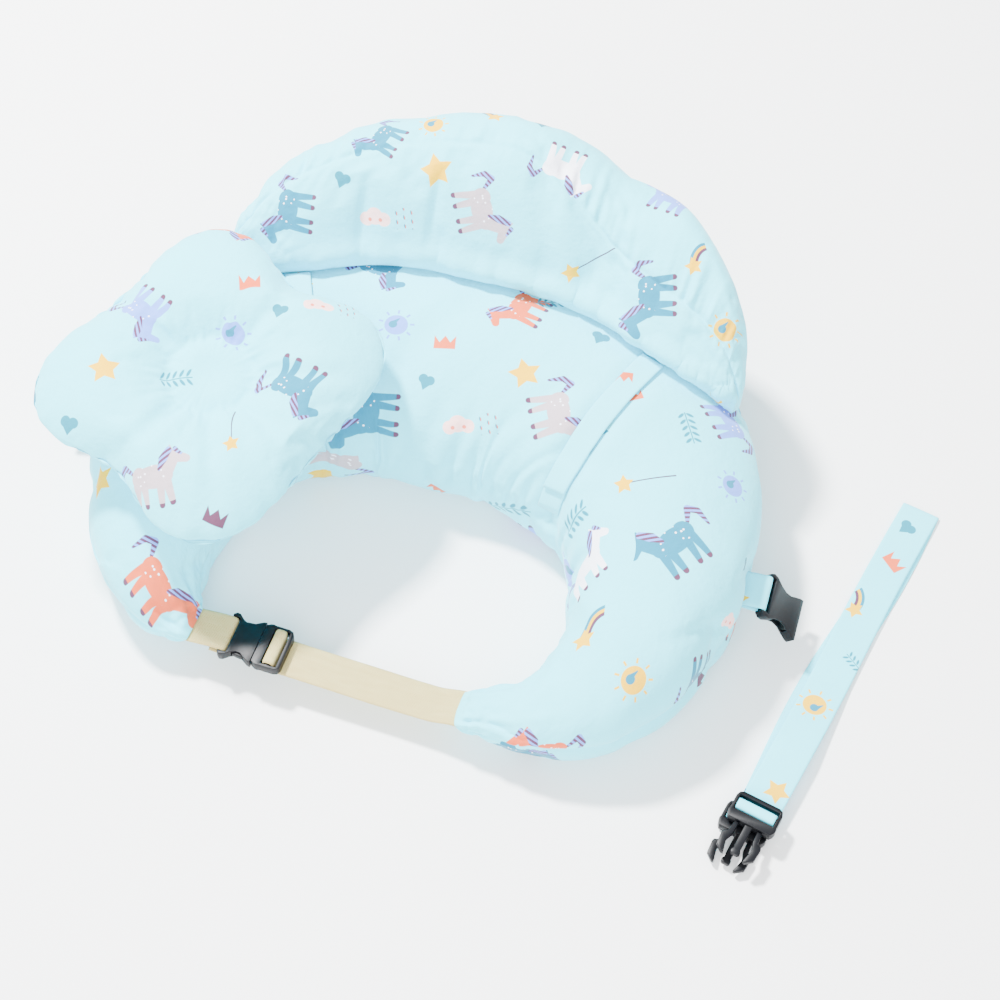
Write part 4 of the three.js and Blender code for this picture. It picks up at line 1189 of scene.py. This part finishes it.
def ribbon(name, line, across, width, thick, start=(0.0, 0.0), hem=0.0, cells=12, wave=0.0):
    """A flat strap along line. across points over its width, hem is the depth of its stitched rows."""
    line, across = np.array(line, float), np.array(across, float)
    n = len(line)
    if across.ndim == 1:
        across = np.tile(across, (n, 1))
    across /= np.linalg.norm(across, axis=1)[:, None]
    up = np.cross(np.gradient(line, axis=0), across)
    up /= np.linalg.norm(up, axis=1)[:, None]
    s = np.linspace(-1, 1, cells + 1)
    s = np.sign(s) * np.abs(s) ** 0.8
    share = np.concatenate([s, s[::-1]])
    face = np.concatenate([np.ones(cells + 1), -np.ones(cells + 1)])
    edge = np.where(np.abs(share) > 0.999, 0.4, 1.0)
    h = thick / 2 * edge * face - hem * face * bell(np.abs(share) - 0.84, 0.05)
    out = share * width / 2
    length = lengths(line)
    lift = h + wave * np.sin(length[:, None] / 17.0 + 2.2 * share) * np.abs(share) ** 1.5
    P = line[:, None, :] + across[:, None, :] * out[None, :, None] + up[:, None, :] * lift[..., None]
    uv = np.empty((n, len(share) + 1, 2))
    uv[..., 0] = start[0] + length[:, None]
    uv[..., 1] = start[1] + np.append(out, out[0])
    return tube_object(name, P, uv, uv + STRAP_SHIFT, cells + 1)


def in_plane(points, turn, origin, side=0.0):
    """Side-view points (distance, height) laid along a direction in the plan."""
    p = np.array(points, float)
    c, s = math.cos(turn), math.sin(turn)
    x, y = origin[0] + c * p[:, 0] - s * side, origin[1] + s * p[:, 0] + c * side
    return np.stack([x, y, origin[2] + p[:, 1]], 1)


# ---------------------------------------------------------------- straps that lie on the cushions
ACROSS_BAND = np.array([-1, -0.5, 0, 0.5, 1])  # where the surface is felt, in half widths of a band
RUN_ON, FEEL_STEP, STEEPEST = 40, 2.0, 0.35


def surface_probe(obj):
    """A function giving the height of a piece's upper side at places in the plan (mm)."""
    tree = BVHTree.FromObject(obj, bpy.context.evaluated_depsgraph_get())

    def height(x, y):
        hit = tree.ray_cast(Vector((x * MM, y * MM, 0.4)), Vector((0, 0, -1)))[0]
        return hit.z / MM if hit else np.nan

    return height


def softened(values, count):
    """A weighted running mean over count values."""
    window = np.hanning(count + 2)[1:-1]
    return np.convolve(np.pad(values, count // 2, mode="edge"), window / window.sum(), "valid")


def surface_under(height, a, d, side, first, last, smoothing):
    """Places along a line from a in direction d, with the surface's height and cross tilt there."""
    at = np.arange(first - RUN_ON, last + RUN_ON + 0.1, FEEL_STEP)
    rows = []
    for k in ACROSS_BAND:
        z = np.array([height(*q) for q in a + at[:, None] * d + side * k * BAND_WIDE / 2])
        good = ~np.isnan(z)
        rows.append(np.interp(at, at[good], z[good]))
    tilt = np.clip((rows[-1] - rows[0]) / BAND_WIDE, -STEEPEST, STEEPEST)
    crest = np.max(np.array(rows) - ACROSS_BAND[:, None] * tilt * BAND_WIDE / 2, 0)
    crest, tilt = np.maximum(softened(crest, smoothing), crest), softened(tilt, smoothing)
    more = int(RUN_ON / FEEL_STEP)
    return at[more:-more], crest[more:-more], tilt[more:-more]


def laid(name, height, band, first, last, wide, thick, lift, start, smoothing=9):
    """A strap from first to last along a band's line, lying over the surface under it."""
    a, b = band
    d = (b - a) / np.linalg.norm(b - a)
    side = np.array([-d[1], d[0]])
    at, crest, tilt = surface_under(height, a, d, side, first, last, smoothing)
    steep = np.sqrt(1 + np.gradient(crest, at) ** 2 + tilt**2)
    line = np.concatenate([a + at[:, None] * d, (crest + (lift + thick / 2) * steep)[:, None]], 1)
    across = np.concatenate([np.tile(side, (len(at), 1)), tilt[:, None]], 1)
    return ribbon(name, line, across, wide, thick, start, hem=0.15)


def build_bands():
    """On each side the anchor on the U, the hook tape over it, and the guard's band on top."""
    height = surface_probe(main_obj)
    made = {}
    for side, band, start in (("right", BAND_RIGHT, (212, 112)), ("left", BAND_LEFT, (300, 112))):
        reach = float(np.linalg.norm(band[1] - band[0]))
        for name, first, last, wide, thick, lift, smoothing in (
                ("anchor", reach - 46, reach, BAND_WIDE, 1.0, 0.3, 9),
                ("hook", reach - 40, reach - 10, BAND_WIDE - 3, 0.8, 1.5, 9),
                ("band", -5, reach - 7, BAND_WIDE, 1.3, 2.7, 13)):
            name = f"{name}_{side}"
            made[name] = laid(name, height, band, first, last, wide, thick, lift, start, smoothing)
    return made


# ---------------------------------------------------------------- belt, tabs and loose strap, as in the CAD
BELT_CENTRE = (-33.5, -355.5, 38.0)
BELT_TURN = math.atan2(-13, 267)
BELT_HALF = 133.6
MOUTH = -BELT_HALF + 67
WEB_WIDE, WEB_THICK, BAR_RADIUS, HALF_BUCKLE = 38, 1.8, 2.1, 5
STRAP_THICK = 1.1
STRAP_TOP, STRAP_END = np.array([476.0, 12.0]), np.array([387.0, -374.0])
STRAP_LONG = float(np.linalg.norm(STRAP_END - STRAP_TOP))
STRAP_TURN = math.atan2(*(STRAP_END - STRAP_TOP)[::-1])


def level(turn):
    """The direction across a strap that lies level and runs in direction turn."""
    return np.array([-math.sin(turn), math.cos(turn), 0])


def on_belt(name, points, width, radius, **looks):
    line = in_plane(rounded(points, radius, 1.6), BELT_TURN, BELT_CENTRE)
    return ribbon(name, line, level(BELT_TURN), width, WEB_THICK, cells=14, **looks)


def slider_turn(thick, loose=0.5):
    """The strap's way through a plug's slider, as (distance from the plug's mouth, height)."""
    h = HALF_BUCKLE + loose + thick / 2
    over = [(11.9, h - 1.2), (13.4, h), (16.6, h + loose), (19.8, h), (21.5, h - 1.2)]
    return [(11.9, -3.4), *over, (21.5, -3.4)]


def build_belt():
    bar = MOUTH - 32
    h = BAR_RADIUS + 0.8 + WEB_THICK / 2
    nose = bar + BAR_RADIUS + 1 + WEB_THICK / 2
    points = [(-BELT_HALF - 14, 1), (-BELT_HALF + 3, 0.4), (bar - 9, h), (bar + 1.4, h), (nose, h - 1.6),
              (nose, 1.6 - h), (bar + 1.4, -h), (bar - 12, -h)]
    short = on_belt("web_short", points, WEB_WIDE, 2.0, start=(11, 0))
    z = -HALF_BUCKLE - 0.5 - WEB_THICK / 2
    span = BELT_HALF - MOUTH
    places = np.linspace(MOUTH + 9, BELT_HALF - 22, 9)
    sag = [(d, z - 1.6 * math.sin(math.pi * (d - MOUTH) / span)) for d in places]
    points = [*sag, (BELT_HALF - 2, 0), (BELT_HALF + 13, 1)]
    long = on_belt("web_long", points, WEB_WIDE, 9.0, start=(140, 0), wave=0.35)
    points = [(x + MOUTH, z) for x, z in slider_turn(WEB_THICK)]
    return short, long, on_belt("web_turn", points, WEB_WIDE, 1.6, start=(60, 0))


def build_strap():
    """The loose strap: out from the upper plug, folded at its far end, and back under itself."""
    end = STRAP_LONG
    upper = [(end + 1, 14.75), (end - 40, 14.75), (end - 78, 14.6), (end - 125, 8.6), (end - 165, 4.6),
             (end - 240, 4.0), (60, 4.4), (14, 3.6), (5, 3.3), (1.5, 2.4), (5, 1.3)]
    lower = [(14, 1.0), (90, 1.0), (end - 60, 1.0), (end - 12, 1.1), (end + 1, 1.3)]
    line = rounded(upper + lower, 3.0, 2.0)
    s = lengths(line)
    fold = int(np.argmin(line[:, 0]))
    back = np.clip((s - s[fold]) / (s[-1] - s[fold]), 0, 1)
    side = -5.0 * back + 3.4 * np.sin(back * 7.5) * (back > 0) + 1.2 * np.sin(s / 60) * (back <= 0)
    line = in_plane(line, STRAP_TURN, (*STRAP_TOP, 0.0), side)
    across = np.cross((0, 0, 1.0), np.gradient(line, axis=0))
    across[np.abs(s - s[fold]) < 8] = level(STRAP_TURN)
    across *= np.where(across @ level(STRAP_TURN) < 0, -1, 1)[:, None]
    strap = ribbon("back_strap", line, across, WEB_WIDE, STRAP_THICK, (-163, -88),
                   hem=0.22, cells=16, wave=0.12)
    return strap, s[-1]


def strap_turns():
    """The strap's way through each of its two plugs."""
    made = []
    for name, shift, side, height, start in (
            ("turn_upper", 20, 0.0, 20.6, (20, 40)), ("turn_lower", 26, -5.0, 7.4, (90, 300))):
        points = [(STRAP_LONG + shift - x, height + z) for x, z in slider_turn(STRAP_THICK, 0.2)]
        line = in_plane(rounded(points, 1.6, 2.0), STRAP_TURN, (*STRAP_TOP, 0.0), side)
        made.append(ribbon(name, line, level(STRAP_TURN), WEB_WIDE - 0.5, STRAP_THICK, start, hem=0.1))
    return made


def build_tab(name, node, side):
    """A doubled loop from the side seam round the socket's bar; node gives its place."""
    lo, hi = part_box(node)
    y, z = (lo[1] + hi[1]) / 2 / MM, (lo[2] + hi[2]) / 2 / MM
    root = (lo[0] if side > 0 else hi[0]) / MM - side * 0.9
    nose = BAR_RADIUS + 1.75
    half = [(-9, 1.9), (-2, 2.4), (4, 3.0), (9, 3.4), (15, nose), (17.4, nose - 0.3), (16 + nose - 0.2, 1.8)]
    points = half + [(a, -b) for a, b in half[::-1]]
    line = rounded(points, 1.6, 1.0)
    line = np.stack([root + side * line[:, 0], np.full(len(line), y), z + line[:, 1]], 1)
    return ribbon(name, line, (0, 1, 0), WEB_WIDE, 1.5, (30 if side > 0 else 210, 20), hem=0.12)


# ---------------------------------------------------------------- moulded parts
EDGE_ROUND = 0.55


def moulded(node):
    """A copy of a CAD node with its edges rounded as moulded ones are."""
    obj = linked(f"{node}_moulded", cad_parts[node].data.copy())
    bm = bmesh.new()
    bm.from_mesh(obj.data)
    bmesh.ops.remove_doubles(bm, verts=bm.verts, dist=1e-6)
    bmesh.ops.dissolve_limit(bm, angle_limit=math.radians(2), verts=bm.verts, edges=bm.edges)
    bm.to_mesh(obj.data)
    bm.free()
    edge = obj.modifiers.new("Bevel", "BEVEL")
    edge.width = EDGE_ROUND * MM
    edge.segments = 2
    edge.limit_method = "ANGLE"
    edge.angle_limit = math.radians(28)
    edge.use_clamp_overlap = True
    mesh = with_modifiers(obj)
    bm = bmesh.new()
    bm.from_mesh(mesh)
    bmesh.ops.triangulate(bm, faces=[f for f in bm.faces if len(f.verts) > 4])
    bm.to_mesh(mesh)
    bm.free()
    shade_smooth(mesh)
    mesh.set_sharp_from_angle(angle=math.radians(40))
    return obj


def dress(obj, material, body, slot, *nodes):
    obj.data.materials.clear()
    obj.data.materials.append(material)
    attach(obj, body)
    if nodes:
        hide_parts(*nodes)


TRIM = cotton("trim_cotton", TRIM_PRINT, crumple=0.35)
WEBBING = webbing_material()
PLASTIC = moulded_plastic()
HOOKS = hook_material()
ZIP_TAPE = zip_material("zip_tape", srgb(96, 200, 226), srgb(130, 226, 244), 1.6)
ZIP_SLIDER = zip_material("zip_slider", srgb(90, 170, 190), srgb(140, 206, 220), 4.0)

dress(main_obj, cotton("main_cotton", MAIN_PRINT), "pillow", "printed_cloth",
      "main_top_cover", "main_bottom_cover", "main_filling")
dress(guard_obj, cotton("guard_cotton", GUARD_PRINT), "guard", "printed_cloth",
      "guard_front_panel", "guard_gathered_strip", "guard_base_panel", "guard_filling")
dress(head_obj, cotton("head_cotton", HEAD_PRINT), "head", "printed_cloth",
      "head_top_cover", "head_dent_panel", "head_bottom_cover", "head_filling")

bands = build_bands()
for side in ("right", "left"):
    dress(bands[f"anchor_{side}"], TRIM, "pillow", "lining_cloth", f"main_band_anchor_{side}")
    dress(bands[f"hook_{side}"], HOOKS, "guard", "hook_tape", f"guard_band_hook_{side}")
    dress(bands[f"band_{side}"], TRIM, "guard", "printed_cloth", f"guard_band_{side}")

web_short, web_long, web_turn = build_belt()
dress(web_short, WEBBING, "pillow", "webbing", "waist_web_short")
dress(web_long, WEBBING, "pillow", "webbing", "waist_web_long")
dress(web_turn, WEBBING, "waist_plug", "webbing", "waist_web_turn")
strap, strap_long = build_strap()
dress(strap, TRIM, "strap", "printed_cloth", "strap_band")
strap_long * MM
for turn, plug in zip(strap_turns(), ("upper", "lower")):
    dress(turn, TRIM, f"{plug}_plug", "printed_cloth", f"strap_turn_{plug}")
for name, side in (("right", 1), ("left", -1)):
    tab = build_tab(f"tab_{name}", f"side_tab_{name}", side)
    dress(tab, TRIM, "pillow", "printed_cloth", f"side_tab_{name}")

MOULDED = {
    "waist_buckle_socket": "pillow", "waist_buckle_plug": "waist_plug",
    "waist_buckle_arm_back": "waist_arm_back", "waist_buckle_arm_front": "waist_arm_front",
    "side_socket_right": "right_socket", "side_socket_left": "left_socket",
    "strap_plug_upper": "upper_plug", "strap_plug_lower": "lower_plug",
    "strap_plug_upper_arm_a": "upper_arm_a", "strap_plug_upper_arm_b": "upper_arm_b",
    "strap_plug_lower_arm_a": "lower_arm_a", "strap_plug_lower_arm_b": "lower_arm_b",
}
for node, body in MOULDED.items():
    dress(moulded(node), PLASTIC, body, "buckle_plastic", node)
for node, material in (("main_zip_tape", ZIP_TAPE), ("main_zip_slider", ZIP_SLIDER)):
    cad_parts[node].data.materials.clear()
    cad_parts[node].data.materials.append(material)


# ---------------------------------------------------------------- floor, light and camera
def paper():
    g = Graph("floor")
    shade = g.mix(g.noise(g.place(), 0.004, 2.0), (0.88, 0.885, 0.885), (0.9, 0.905, 0.905))
    return g.finish(shade, 0.9, Specular_IOR_Level=0.1)


floor_mesh = bpy.data.meshes.new("floor")
floor_mesh.from_pydata([(-9, -9, 0), (9, -9, 0), (9, 9, 0), (-9, 9, 0)], [], [(0, 1, 2, 3)])
floor = linked("floor", floor_mesh)
floor_mesh.materials.append(paper())

world = bpy.data.worlds.new("studio")
bpy.context.scene.world = world
world.use_nodes = True
sky = world.node_tree.nodes["Background"]
sky.inputs["Color"].default_value = (0.95, 0.97, 1.0, 1)
sky.inputs["Strength"].default_value = 1.8


def area_light(name, place, target, size, power):
    light = bpy.data.lights.new(name, "AREA")
    light.size = size
    light.energy = power
    obj = linked(name, light)
    obj.location = place
    obj.rotation_euler = (Vector(target) - Vector(place)).to_track_quat("-Z", "Y").to_euler()


area_light("key", (-1.3, 0.62, 2.7), (0, -0.1, 0.05), 0.35, 470)
area_light("fill", (0.3, -2.3, 1.9), (0, 0, 0.1), 2.0, 150)

CAM_TURN, CAM_UP, CAM_FAR, CAM_AT = math.radians(17), math.radians(54), 2.2, Vector((-0.014, -0.08, 0.06))
level_ahead = Vector((-math.sin(CAM_TURN), math.cos(CAM_TURN), 0))
ahead = level_ahead * math.cos(CAM_UP) + Vector((0, 0, -math.sin(CAM_UP)))
cam = bpy.data.cameras.new("camera")
cam.sensor_width = 36
cam.lens = 36 * CAM_FAR
cam.shift_x, cam.shift_y = 0.07, -0.07
cam_obj = linked("camera", cam)
cam_obj.location = CAM_AT - ahead * CAM_FAR
cam_obj.rotation_euler = ahead.to_track_quat("-Z", "Y").to_euler()
bpy.context.scene.camera = cam_obj
